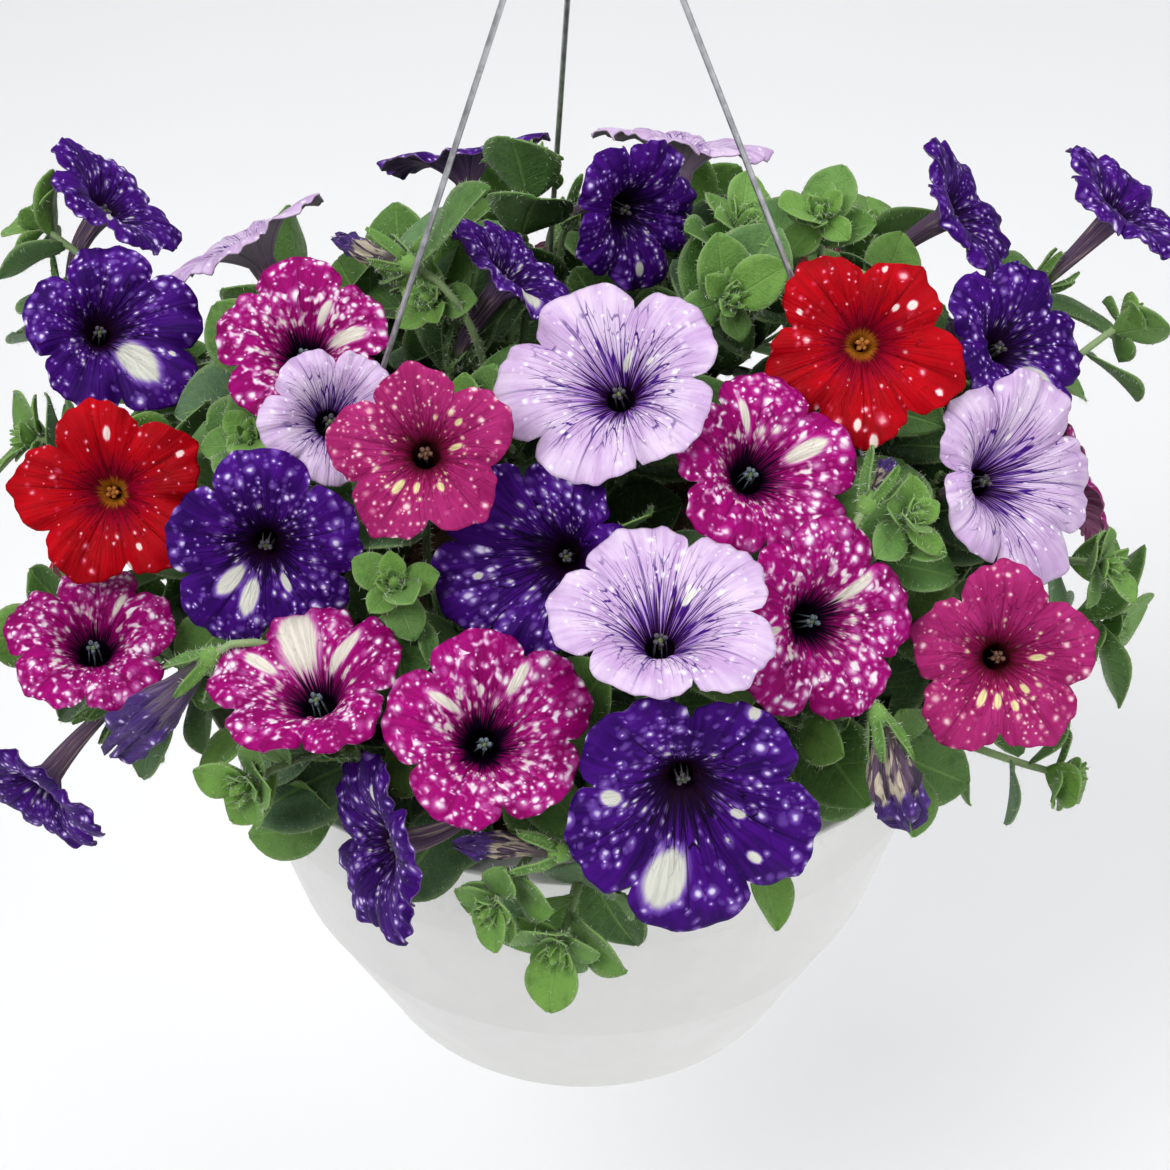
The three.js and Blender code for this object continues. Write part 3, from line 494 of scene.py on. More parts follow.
# ---------------------------------------------------------------- the plant's plan
class Plan:
    """Every bloom, furled bloom, stalk and leaf of the plant, worked out once."""

    def __init__(self, settings):
        self.blooms = [front_bloom(row) for row in FRONT_BLOOMS]
        self.blooms += [back_bloom(row) for row in BACK_BLOOMS]
        self.buds = [furled_bloom(row) for row in FURLED]
        self.settings = settings
        counts = {}
        for bloom in self.blooms:
            counts[bloom["colour"]] = counts.get(bloom["colour"], 0) + 1
            bloom["name"] = f"{bloom['colour']}_{counts[bloom['colour']]:02d}"
        self.ends = self.flower_ends() + self.shoot_ends()
        self.inner = self.inner_shoots()

    def flower_ends(self):
        return [
            {"cell": f["cell"], "flower": f, "end": f["base"] + f["back"] * (CALYX_FLOOR - 1),
             "back": f["back"], "count": 0, "length": 0}
            for f in self.blooms + self.buds
        ]

    def shoot_ends(self):
        tips = [(seen_at(a, d, n), count, length) for a, d, n, count, length in FRONT_SHOOTS]
        tips += [(on_dome(t, r, p)[0], count, length) for t, r, p, count, length in BACK_SHOOTS]
        return [self.shoot(*tip) for tip in tips]

    @staticmethod
    def shoot(end, count, length):
        cell = cell_of(end)
        back = unit(stem_of(cell)[1] - end)
        back = unit(vec(back[0], back[1], back[2] * 0.4))
        return {"cell": cell, "flower": None, "end": end, "back": back, "count": count,
                "length": length}

    def inner_shoots(self):
        """Shoots under the blooms, in even turns round the mound, that fill it with leaves."""
        tips = []
        for shell, (number, proud, length) in enumerate(self.settings.shells()):
            for k in range(number):
                share = (k + 0.5) / number
                rise = math.degrees(math.asin(-0.2 + 1.17 * share))
                turn = GOLDEN_TURN * k + 60 * shell
                depth = proud - 3.0 * (k % 4)
                tips.append(self.shoot(on_dome(turn, rise, depth)[0], 5, length))
        return tips

    def stalks(self, cell):
        """The stalks of a cell as lines of points, with the leaves that each one bears."""
        rows = []
        for ends, inner in ((self.ends, False), (self.inner, True)):
            mine = [end for end in ends if end["cell"] == cell]
            for order, end in enumerate(mine):
                share = (order + 0.5) / len(mine)
                points = stalk_points(cell, share, end["end"], end["back"])
                rows.append({**end, "points": points, "inner": inner,
                             "leaves": self.leaves(cell, end, points, order)})
        return rows

    def leaves(self, cell, end, points, order):
        length = path_length(bezier, points)
        line = spaced(bezier, points, STALK_STEPS)
        leaves = []
        number = self.settings.stalk_leaves if end["flower"] else end["count"]
        for i in range(number):
            if end["flower"]:
                plan = (max(0.3, 1 - (5 + 9 * i) / length),
                        GOLDEN_TURN * (3 * order + i) + 20 * cell, 62 + 8 * i, 38, 0.58, 0.15)
            else:
                young = i / number
                plan = (max(0.25, 1 - (1 + 5.5 * (number - 1 - i)) / length),
                        GOLDEN_TURN * i + 50 * order, 72 - 34 * young,
                        end["length"] * (1 - 0.42 * young), 0.62,
                        young * (36 / max(20, end["length"])))
            leaf = grow_leaf(cell, (self.blooms, self.buds), line, *plan)
            if leaf:
                leaves.append(leaf)
        return leaves


# ---------------------------------------------------------------- meshes
def grid_faces(rows, cols, closed, flip=False):
    """Quads over rows of points; closed joins the last column to the first."""
    wide = cols if closed else cols - 1
    r, c = np.meshgrid(np.arange(rows - 1), np.arange(wide), indexing="ij")
    d = (c + 1) % cols
    faces = np.stack([r * cols + c, r * cols + d, (r + 1) * cols + d, (r + 1) * cols + c], -1)
    faces = faces.reshape(-1, 4)
    return faces[:, ::-1] if flip else faces


def placed(name, data):
    """A new object of the scene, at the origin, with a mesh, curve, lamp or camera."""
    piece = bpy.data.objects.new(name, data)
    bpy.context.scene.collection.objects.link(piece)
    return piece


def circle(centre, a, b, radius, turn):
    """Points round a centre, by their radii and turns."""
    return centre + np.outer(np.cos(turn) * radius, a) + np.outer(np.sin(turn) * radius, b)


class Soup:
    """Points, faces and attributes, gathered piece by piece for one mesh."""

    def __init__(self):
        self.points, self.faces, self.slots, self.values = [], [], [], {}
        self.total = 0

    def add(self, points, faces, slot=0, **values):
        points = np.asarray(points, dtype=float).reshape(-1, 3)
        self.points.append(points)
        for face in faces:
            self.faces.append([int(i) + self.total for i in face])
        self.slots += [slot] * len(faces)
        for name, value in values.items():
            self.values.setdefault(name, []).append((self.total, np.asarray(value, dtype=float)))
        self.total += len(points)

    def object(self, name, materials):
        mesh = bpy.data.meshes.new(name)
        mesh.from_pydata((np.concatenate(self.points) * MM).tolist(), [], self.faces)
        for name_, pieces in self.values.items():
            vector = pieces[0][1].ndim == 2
            kind, field = ("FLOAT_VECTOR", "vector") if vector else ("FLOAT", "value")
            data = np.zeros((self.total, 3) if vector else self.total)
            for start, value in pieces:
                data[start:start + len(value)] = value
            mesh.attributes.new(name_, kind, "POINT").data.foreach_set(field, data.ravel())
        for material in materials:
            mesh.materials.append(material)
        mesh.polygons.foreach_set("material_index", self.slots)
        mesh.shade_smooth()
        mesh.validate()
        mesh.update()
        return placed(name, mesh)


def grid_normals(grid, closed):
    """Unit normals of a grid of points, rows first."""
    down = np.gradient(grid, axis=0)
    if closed:
        over = np.roll(grid, -1, axis=1) - np.roll(grid, 1, axis=1)
    else:
        over = np.gradient(grid, axis=1)
    normal = np.cross(over, down)
    return normal / np.maximum(np.linalg.norm(normal, axis=2, keepdims=True), 1e-9)


def add_sheet(soup, grid, thick, closed, slots, **values):
    """A sheet with a front, a back and closed edges from a grid of points."""
    rows, cols = grid.shape[:2]
    normal = grid_normals(grid, closed)
    front, back = grid + normal * thick / 2, grid - normal * thick / 2
    count = rows * cols
    points = np.concatenate([front.reshape(-1, 3), back.reshape(-1, 3)])
    both = {name: np.concatenate([v, v]) for name, v in values.items()}
    start = soup.total
    soup.add(points, grid_faces(rows, cols, closed), slots[0], **both)
    rim = (grid_faces(rows, cols, closed, flip=True) + count).tolist()
    for c in range(cols if closed else cols - 1):
        d = (c + 1) % cols
        low = (rows - 1) * cols
        rim.append([c, c + count, d + count, d])
        rim.append([low + d, low + d + count, low + c + count, low + c])
    if not closed:
        for r in range(rows - 1):
            a, b = r * cols, (r + 1) * cols
            rim.append([b, b + count, a + count, a])
            a, b = a + cols - 1, b + cols - 1
            rim.append([a, a + count, b + count, b])
    for face in rim:
        soup.faces.append([i + start for i in face])
        soup.slots.append(slots[1])


def ring_frame(axis, near):
    """Two unit vectors across an axis, the first one as near as can be to a direction."""
    a = unit(near - (near @ axis) * axis)
    return a, np.cross(axis, a)


def add_lathe(soup, centre, axis, near, profile, sides, slot=0, **values):
    """A closed turned shape round an axis; the profile is (radius, height) pairs."""
    a, b = ring_frame(axis, near)
    angle = np.linspace(0, 2 * math.pi, sides, endpoint=False)
    rings = [
        centre + axis * z + r * (np.outer(np.cos(angle), a) + np.outer(np.sin(angle), b))
        for r, z in profile
    ]
    rows = len(rings)
    points = np.concatenate(rings + [[centre + axis * profile[0][1]],
                                     [centre + axis * profile[-1][1]]])
    faces = grid_faces(rows, sides, True).tolist()
    low, high = rows * sides, rows * sides + 1
    last = (rows - 1) * sides
    for i in range(sides):
        j = (i + 1) % sides
        faces.append([j, i, low])
        faces.append([last + i, last + j, high])
    soup.add(points, faces, slot, **{k: np.full(len(points), v) for k, v in values.items()})


# ---------------------------------------------------------------- blooms
PETAL_SIDES = 140
TUBE_ROWS = 8
LIMB_ROWS = 28
TUBE_FOOT_RADIUS = 1.7
THROAT_SINK = THROAT_DEPTH + 0.6
FURLED_SIDES = 110
FURLED_ROWS = 56
FURLED_END = 1.06
MOUTH_RADIUS = {"purple": 3.6, "magenta": 5.0, "rose": 4.2, "red": 2.4, "lavender": 4.4}
NOTCH = 0.74


def lobe_outline(turn, start, pointed, seed):
    """The edge's share of the radius, the place in its lobe, -0.5 to 0.5, and its number."""
    fifths = (turn - start) / (2 * math.pi / 5) + 0.5
    number = np.floor(fifths) % 5
    lobe = fifths % 1 - 0.5
    x = np.abs(2 * lobe)
    size = 1 + 0.16 * np.sin(2.4 * number + seed)
    if pointed:
        body = np.maximum(0, 1 - x ** 2.4) ** 0.8
        share = NOTCH - 0.04 + (0.97 - NOTCH) * body * size + 0.06 * np.exp(-(x / 0.16) ** 2)
        share = share + 0.012 * np.sin(7 * math.pi * x + number) * x
    else:
        body = np.sqrt(np.maximum(0, 1 - x ** 2.3))
        share = NOTCH + (0.99 - NOTCH) * body * size
    return share, lobe, number


def blotch_mask(x, y, blotches):
    """Highest where a pale blotch lies; its edge is near 0.5."""
    mask = np.zeros_like(x)
    for turn, share, length, width in blotches:
        t = math.radians(turn)
        out = (x * math.cos(t) + y * math.sin(t) - share) / (length / 2)
        side = (y * math.cos(t) - x * math.sin(t)) / (width / 2)
        mask = np.maximum(mask, 1.5 - np.hypot(out, side))
    return mask


def bloom_grid(bloom, seed, ruffle):
    """Rows of points from the tube's foot to the lobes' edge, with their petal places."""
    place, facing, bend, base = (bloom[k] for k in ("place", "facing", "bend", "base"))
    radius, back = bloom["radius"], bloom["back"]
    start = math.radians(bloom["roll"])
    turn = start - np.linspace(0, 2 * math.pi, PETAL_SIDES, endpoint=False)
    pointed = bloom["colour"] in ("red", "rose")
    outline, lobe, number = lobe_outline(turn, start, pointed, seed)
    edge = radius * outline * (1 + 0.012 * np.sin(13 * turn + seed) + 0.008 * np.sin(29 * turn))
    u, v = ring_frame(facing, bloom["u"])
    across, up = bloom["shift"]
    shift = u * across + v * up
    mouth_radius = MOUTH_RADIUS[bloom["colour"]]
    rows, reach = [], []
    foot = base - back * 0.6
    mouth = place + shift - facing * THROAT_SINK
    for i in range(TUBE_ROWS):
        s = i / TUBE_ROWS
        centre = foot * (1 - s) ** 2 + bend * (2 * s * (1 - s)) + mouth * s * s
        axis = unit((bend - foot) * (1 - s) + (mouth - bend) * s)
        a, b = ring_frame(axis, bloom["u"])
        r = TUBE_FOOT_RADIUS + (mouth_radius - TUBE_FOOT_RADIUS) * s ** 1.3
        r = r * (1 + 0.05 * np.cos(5 * (turn - start)) * math.sin(math.pi * s))
        rows.append(circle(centre, a, b, r, turn))
        reach.append(np.full(PETAL_SIDES, -1 + s))
    fold = np.exp(-(lobe / 0.04) ** 2)
    seam = np.exp(-((np.abs(lobe) - 0.5) / 0.1) ** 2)
    lift = np.sin(2.1 * number + 1.3 * seed) * (1 - (2 * lobe) ** 2)
    for i in range(LIMB_ROWS):
        k = (i / (LIMB_ROWS - 1)) ** 0.92
        r = mouth_radius + (edge - mouth_radius) * k
        z = -THROAT_SINK * (1 - k) ** 2.9
        z = z - 2.2 * k ** 5 * (outline - NOTCH) / (1 - NOTCH) + 1.6 * k ** 2 * (1 - k)
        z = z - 0.55 * fold * k * (1.15 - k) * 2 - 2.2 * seam * k ** 1.3 + 1.5 * lift * k * k
        wave = np.sin(10 * turn + seed * 2.1) + 0.6 * np.sin(17 * turn - seed)
        wave = wave + 0.45 * np.sin(31 * turn + seed * 3.3)
        z = z + ruffle * k ** 3.5 * wave + 0.12 * k * np.sin(45 * turn + seed)
        z = z + 0.8 * k ** 2 * math.sin(seed * 1.7) * np.cos(2 * (turn - seed))
        rows.append(circle(place + shift * (1 - k) ** 1.3, u, v, r, turn) + np.outer(z, facing))
        reach.append(r / radius)
    grid, reach = np.array(rows), np.array(reach)
    turn = np.broadcast_to(turn, reach.shape)
    x, y = ((grid - place) @ axis / radius for axis in (u, v))
    x, y = np.where(reach > 0, x, 0), np.where(reach > 0, y, 0)
    fan = 0.42 + 0.58 * np.maximum(reach, 0)
    values = {
        "flat": np.stack([fan * np.cos(turn) + 3.7 * seed, fan * np.sin(turn) - 2.3 * seed,
                          reach], -1).reshape(-1, 3),
        "ring": np.stack([np.cos(turn), np.sin(turn), reach + 1.9 * seed], -1).reshape(-1, 3),
        "reach": reach.ravel(),
        "lobe": np.broadcast_to(lobe, reach.shape).ravel(),
        "blotch": blotch_mask(x, y, bloom["blotches"]).ravel(),
    }
    return grid, values


def add_stamens(soup, bloom):
    """Five anthers and a stigma in the mouth of the tube."""
    facing, place = bloom["facing"], bloom["place"]
    u, v = ring_frame(facing, bloom["u"])
    place = place + u * bloom["shift"][0] + v * bloom["shift"][1]
    deep = place - facing * (THROAT_DEPTH + 5)
    for i in range(5):
        out = spoke(u, v, math.radians(bloom["roll"] + 72 * i + 36))
        tip = place - facing * (6.3 + 0.8 * (i % 3)) + out * (1.1 + 0.25 * (i % 2))
        foot = deep + out * 2.2
        run = np.linalg.norm(tip - foot)
        axis = unit(tip - foot)
        stem = [(0.05, 0), (0.28, 0.1), (0.26, run * 0.5), (0.24, run)]
        add_lathe(soup, foot, axis, u, stem, 5, 2)
        pod = [(0.1, -0.9), (0.62, -0.6), (0.78, 0.0), (0.66, 0.55), (0.15, 0.95)]
        add_lathe(soup, tip, unit(axis + out * 0.8), u, pod, 7, 2)
    stigma = [(0.1, -4.5), (0.36, -4.2), (0.34, -0.8), (0.95, -0.3), (1.0, 0.15), (0.2, 0.6)]
    add_lathe(soup, place - facing * 7.2, facing, u, stigma, 8, 3)


# The finishes of the anthers and stigmas that aren't anther_dark and stigma
ANTHERS = {"magenta": "anther_pale", "red": "anther_gold", "rose": "anther_brown"}
STIGMAS = {"red": "anther_gold", "rose": "stigma_brown"}


def make_bloom(bloom, seed, looks, settings):
    soup = Soup()
    grid, values = bloom_grid(bloom, seed, settings.ruffle / MM)
    add_sheet(soup, grid, settings.petal_thickness / MM, True, (0, 1), **values)
    add_stamens(soup, bloom)
    colour = bloom["colour"]
    names = (f"petal_{colour}", f"petal_back_{colour}", ANTHERS.get(colour, "anther_dark"),
             STIGMAS.get(colour, "stigma"))
    return soup.object(f"petunia_{bloom['name']}", [looks[name] for name in names])


def make_furled(bud, index, looks):
    """A closed, twisted trumpet: a pleated skin that narrows to a crumpled tip."""
    base, facing, u, v = (bud[k] for k in ("base", "facing", "u", "v"))
    girth, length = bud["girth"], bud["length"]
    at = [0, 0.3, 0.6, 0.8, 0.92, 1.0, FURLED_END]
    wide = [1.9, 0.28 * girth, 0.48 * girth, 0.42 * girth, 0.48 * girth, 0.36 * girth, 1.2]
    sides, rows = FURLED_SIDES, FURLED_ROWS
    turn = np.linspace(0, 2 * math.pi, sides, endpoint=False)
    grid, reach = [], []
    for i in range(rows):
        s = FURLED_END * i / (rows - 1)
        smooth = np.interp(s, at, wide)
        pleat = min(1, s * 2.2)
        twist = turn + s * 0.9
        fold = 1 - 0.38 * pleat * (0.5 + 0.5 * np.cos(5 * twist + index)) ** 1.3
        fold = fold + 0.07 * pleat * np.sin(13 * twist + 9 * s + index) * np.sin(11 * s + 2 * turn)
        fold = fold + 0.05 * pleat * np.sin(23 * twist - 5 * s + index)
        r = smooth * (fold + 0.16 * s ** 6 * np.sin(8 * turn + 2 * index))
        lift = 0.07 * length * s ** 5 * (np.sin(5 * turn + index) + 0.5 * np.sin(12 * turn))
        bow = 0.06 * length * math.sin(math.pi * min(1, s)) * (1 if index % 2 else -1)
        centre = base + facing * (length * s - 0.5) + u * bow
        grid.append(circle(centre, u, v, r, twist) + np.outer(lift, facing))
        reach.append(np.full(sides, s))
    reach = np.array(reach)
    spin = np.broadcast_to(turn, reach.shape)
    ring = np.stack([np.cos(spin), np.sin(spin), reach + 3.1 * index], -1).reshape(-1, 3)
    faces = grid_faces(rows, sides, True).tolist()
    last = (rows - 1) * sides
    faces += [list(range(sides - 1, -1, -1)), [last + i for i in range(sides)]]
    soup = Soup()
    soup.add(np.array(grid), faces, 0, ring=ring, reach=reach.ravel())
    return soup.object(f"furled_petunia_{index + 1}", [looks[f"furled_{bud['colour']}"]])


# ---------------------------------------------------------------- node trees
class Nodes:
    """Short calls for a node tree: a node's inputs are values or other nodes' outputs."""

    def __init__(self, tree):
        self.tree = tree

    def add(self, kind, inputs=None, **settings):
        node = self.tree.nodes.new(kind)
        for name, value in settings.items():
            setattr(node, name, value)
        for key, value in (inputs or {}).items():
            self.feed(node.inputs[key], value)
        return node

    def feed(self, socket, value):
        if isinstance(value, bpy.types.NodeSocket):
            self.tree.links.new(value, socket)
        elif value is not None:
            socket.default_value = (*value, 1.0) if socket.type == "RGBA" else value

    def math(self, operation, a, b=0.0, clamp=False):
        node = self.add("ShaderNodeMath", {0: a, 1: b}, operation=operation, use_clamp=clamp)
        return node.outputs[0]

    def plus(self, a, b):
        return self.math("ADD", a, b)

    def minus(self, a, b):
        return self.math("SUBTRACT", a, b)

    def times(self, a, b):
        return self.math("MULTIPLY", a, b)

    def most(self, *masks):
        """The highest of several masks."""
        result = masks[0]
        for mask in masks[1:]:
            result = self.math("MAXIMUM", result, mask)
        return result

    def stray(self, noise, by):
        """How far a noise moves an edge to either side."""
        return self.times(self.minus(noise, 0.5), by)

    def vectors(self, operation, a, b):
        return self.add("ShaderNodeVectorMath", {0: a, 1: b}, operation=operation).outputs[0]

    def scale(self, vector, by):
        return self.vectors("MULTIPLY", vector, by)

    def mix(self, share, a, b):
        return self.add("ShaderNodeMix", {0: share, 6: a, 7: b}, data_type="RGBA").outputs[2]

    def step(self, value, low, high, to_low=0.0, to_high=1.0):
        """A smooth step of a value between two limits."""
        limits = dict(enumerate((value, low, high, to_low, to_high)))
        return self.add("ShaderNodeMapRange", limits, interpolation_type="SMOOTHSTEP").outputs[0]

    def noise(self, vector, scale, detail=2.0, distortion=0.0):
        node = self.add("ShaderNodeTexNoise", {
            "Vector": vector, "Scale": scale, "Detail": detail, "Distortion": distortion,
        })
        return node.outputs["Fac"]

    def streaks(self, ring, turns, out, detail=3.0, distortion=0.0):
        """A noise drawn out along a petal, by its turns round and its steps outwards."""
        return self.noise(self.scale(ring, (turns, turns, out)), 1.0, detail, distortion)

    def net(self, vector, scale):
        """How far a place is from the edge of its cell."""
        node = self.add("ShaderNodeTexVoronoi", {"Vector": vector, "Scale": scale},
                        feature="DISTANCE_TO_EDGE")
        return node.outputs["Distance"]

    def attribute(self, name, vector=False):
        node = self.add("ShaderNodeAttribute", attribute_name=name)
        return node.outputs["Vector" if vector else "Fac"]

    def object_place(self):
        return self.add("ShaderNodeTexCoord").outputs["Object"]

    def bump(self, height, strength, distance):
        node = self.add("ShaderNodeBump", {
            "Height": height, "Strength": strength, "Distance": distance,
        })
        return node.outputs["Normal"]

    def group(self, tree, **inputs):
        return self.add("ShaderNodeGroup", inputs, node_tree=tree).outputs


def add_inputs(tree, inputs, bare):
    """Named input sockets of their defaults' kinds; bare is the kind of one without."""
    kinds = {int: "NodeSocketInt", float: "NodeSocketFloat", tuple: "NodeSocketVector"}
    for label, default in inputs.items():
        kind = kinds.get(type(default), bare)
        socket = tree.interface.new_socket(label, in_out="INPUT", socket_type=kind)
        if default is not None:
            socket.default_value = default


def node_group(name, build, **inputs):
    """A shader node group with named sockets, built once, that puts out masks or heights."""
    tree = bpy.data.node_groups.get(name)
    if tree is None:
        tree = bpy.data.node_groups.new(name, "ShaderNodeTree")
        add_inputs(tree, inputs, "NodeSocketVector")
        n = Nodes(tree)
        made = build(n, n.add("NodeGroupInput").outputs)
        for label in made:
            tree.interface.new_socket(label, in_out="OUTPUT", socket_type="NodeSocketFloat")
        n.add("NodeGroupOutput", made)
    return tree


# ---------------------------------------------------------------- shader node groups
def specks_group():
    """Round specks of uneven size, in crowds, with a soft halo round each one."""
    def build(n, given):
        vector = given["Vector"]
        cells = n.add("ShaderNodeTexVoronoi", {
            "Vector": vector, "Scale": given["Scale"], "Randomness": 1.0,
        }).outputs
        pick = n.add("ShaderNodeSeparateColor", {"Color": cells["Color"]}).outputs[0]
        crowd = n.step(n.noise(vector, 2.3, 2.0), 0.34, 0.66, 0.3, 1.5)
        share = n.times(given["Share"], crowd)
        grade = n.math("ADD", n.math("DIVIDE", n.minus(pick, 1.0), share), 1.0, clamp=True)
        here = n.step(grade, 0.0, 0.02)
        size = n.times(n.plus(n.times(grade, 0.6), 0.4), given["Size"])
        size = n.times(size, here)
        wide = n.times(size, given["Halo"])
        away = cells["Distance"]
        core = n.step(away, n.times(size, 0.2), n.plus(size, 0.001), 1.0, 0.0)
        halo = n.step(away, n.times(size, 0.5), n.plus(wide, 0.002), 1.0, 0.0)
        return {"Core": n.times(core, here), "Halo": n.times(halo, here)}
    return node_group("specks", build, Vector=None, Scale=10.0, Share=0.5, Size=0.3, Halo=1.6)


def veins_group():
    """Veins that run out from the throat, wander and branch, thinner and fainter outwards."""
    def build(n, given):
        ring, reach, end = given["Ring"], given["Reach"], given["End"]
        round_ring = n.scale(ring, given["Turns"])
        sway = n.add("ShaderNodeTexNoise", {"Vector": round_ring, "Scale": 0.9, "Detail": 3.0})
        bent = n.vectors("ADD", round_ring, n.scale(sway.outputs["Color"], (0.45, 0.45, 0.45)))
        thin = n.step(reach, given["Start"], n.times(end, 0.62), 1.0, 0.22)
        width = n.times(given["Width"], thin)
        line = n.step(n.net(bent, 1.0), n.times(width, 0.35), width, 1.0, 0.0)
        patchy = n.plus(reach, n.stray(n.streaks(ring, 5.0, 5.0, 2.0), 0.7))
        return {"Mask": n.times(line, n.step(patchy, n.times(end, 0.5), end, 1.0, 0.0))}
    return node_group("veins", build, Ring=None, Turns=(9.0, 9.0, 2.0), Reach=0.5, Width=0.05,
                      Start=0.2, End=0.9)


def cells_group():
    """Fine raised cells of a soft plant surface, as a height."""
    def build(n, given):
        cells = n.add("ShaderNodeTexVoronoi", {"Vector": given["Vector"], "Scale": given["Scale"]})
        return {"Height": n.minus(1.0, cells.outputs["Distance"])}
    return node_group("plant cells", build, Vector=None, Scale=1500.0)


def grime_group():
    """Uneven fine dirt between two amounts, over the object's place."""
    def build(n, given):
        broad = n.noise(given["Vector"], given["Scale"], 4.0)
        fine = n.noise(given["Vector"], n.times(given["Scale"], 11.0), 3.0)
        both = n.plus(n.times(broad, 0.65), n.times(fine, 0.35))
        return {"Mask": n.step(both, given["Low"], given["High"])}
    return node_group("grime", build, Vector=None, Scale=20.0, Low=0.5, High=0.7)


# ---------------------------------------------------------------- materials
# Each petal's finish, in linear colours: the ground from deep to light; its inner zone with
# the reach where that ends; the marks with their halo, and the blotches with how ragged
# their edge is; the specks as (scale, share, size, halo) with the reach where they start;
# the veins as (turns round, turns out, width, start, end, strength); how strong the cloudy
# mottling is; and the throat with its reach and how far its edge is jagged. Some have a
# colour of their own for the veins, the tube or the edge of the throat.
PETALS = {
    "purple": {
        "deep": (0.020, 0.0010, 0.080), "light": (0.060, 0.0045, 0.200),
        "inner": (0.016, 0.001, 0.045), "inner_end": 0.42, "ragged": 0.4,
        "mark": (0.76, 0.70, 0.90), "halo": (0.20, 0.085, 0.46), "blotch": (0.68, 0.68, 0.60),
        "specks": ((13, 0.52, 0.32, 2.3), (7.6, 0.62, 0.36, 2.0), (4.8, 0.42, 0.31, 1.7)),
        "specks_start": 0.22, "veins": (6, 1.9, 0.10, 0.15, 0.8, 0.95), "mottle": 0.0,
        "throat": (0.010, 0.0008, 0.008), "throat_end": 0.19, "jag": 0.14,
    },
    "magenta": {
        "deep": (0.200, 0.0004, 0.085), "light": (0.355, 0.0018, 0.165),
        "inner": (0.20, 0.0008, 0.09), "inner_end": 0.4, "ragged": 0.7,
        "mark": (0.90, 0.82, 0.88), "halo": (0.52, 0.085, 0.37), "blotch": (0.74, 0.69, 0.60),
        "specks": ((13, 0.66, 0.36, 1.9), (7.4, 0.84, 0.41, 1.8), (4.8, 0.52, 0.38, 1.7)),
        "specks_start": 0.26, "veins": (6, 1.8, 0.05, 0.25, 0.95, 0.6), "mottle": 0.9,
        "throat": (0.006, 0.0005, 0.010), "throat_end": 0.26, "jag": 0.14,
    },
    "rose": {
        "deep": (0.27, 0.009, 0.095), "light": (0.40, 0.024, 0.160),
        "inner": (0.26, 0.007, 0.07), "inner_end": 0.45, "ragged": 0.4,
        "mark": (0.84, 0.60, 0.62), "halo": (0.56, 0.12, 0.27), "blotch": (0.78, 0.70, 0.34),
        "specks": ((13, 0.65, 0.32, 1.8), (7.4, 0.62, 0.34, 1.6), (4.6, 0.40, 0.30, 1.4)),
        "specks_start": 0.22, "veins": (6, 2.0, 0.06, 0.2, 1.0, 0.6), "mottle": 0.0,
        "throat": (0.085, 0.008, 0.013), "throat_end": 0.20, "jag": 0.14,
    },
    "red": {
        "deep": (0.29, 0.0003, 0.004), "light": (0.47, 0.0004, 0.006),
        "inner": (0.27, 0.0004, 0.022), "inner_end": 0.5, "ragged": 0.5,
        "mark": (0.88, 0.46, 0.50), "halo": (0.62, 0.04, 0.09), "blotch": (0.92, 0.74, 0.68),
        "specks": ((13, 0.30, 0.28, 1.7), (7.4, 0.34, 0.29, 1.8), (4.4, 0.18, 0.26, 1.7)),
        "specks_start": 0.34, "veins": (7, 1.9, 0.05, 0.12, 0.8, 0.75), "mottle": 0.0,
        "throat": (0.48, 0.17, 0.012), "throat_end": 0.15, "jag": 0.05,
        "throat_edge": (0.08, 0.002, 0.006), "tube": (0.30, 0.05, 0.03),
    },
    "lavender": {
        "deep": (0.51, 0.335, 0.585), "light": (0.69, 0.555, 0.735),
        "inner": (0.42, 0.22, 0.64), "inner_end": 0.36, "ragged": 0.5,
        "mark": (0.90, 0.86, 0.92), "halo": (0.76, 0.66, 0.86), "blotch": (0.90, 0.88, 0.78),
        "specks": ((13, 0.36, 0.3, 1.6), (6.4, 0.34, 0.32, 1.5)),
        "specks_start": 0.26, "veins": (8, 1.7, 0.14, 0.16, 0.90, 1.0), "mottle": 0.0,
        "throat": (0.018, 0.002, 0.026), "throat_end": 0.22, "jag": 0.24,
        "vein": (0.050, 0.006, 0.185),
    },
}
TUBE_COLOUR = (0.16, 0.10, 0.15)

# The furled blooms' ground, how strong their cream streaks are and where their tip starts
FURLED_LOOKS = {
    "purple": {"deep": (0.018, 0.0035, 0.050), "light": (0.092, 0.034, 0.180), "cream": 0.16,
               "tip": 0.64},
    "wilted": {"deep": (0.022, 0.010, 0.034), "light": (0.15, 0.08, 0.145), "cream": 0.9,
               "tip": 0.86},
}

# The anthers' and stigmas' two colours
STAMEN_LOOKS = {
    "anther_pale": ((0.14, 0.19, 0.21), (0.04, 0.06, 0.08)),
    "anther_dark": ((0.10, 0.09, 0.10), (0.03, 0.02, 0.04)),
    "anther_brown": ((0.17, 0.09, 0.04), (0.06, 0.02, 0.02)),
    "anther_gold": ((0.52, 0.20, 0.02), (0.26, 0.07, 0.01)),
    "stigma_brown": ((0.24, 0.13, 0.05), (0.1, 0.05, 0.02)),
    "stigma": ((0.16, 0.22, 0.07), (0.07, 0.11, 0.03)),
}


def darker(colour, share):
    return tuple(share * c for c in colour)


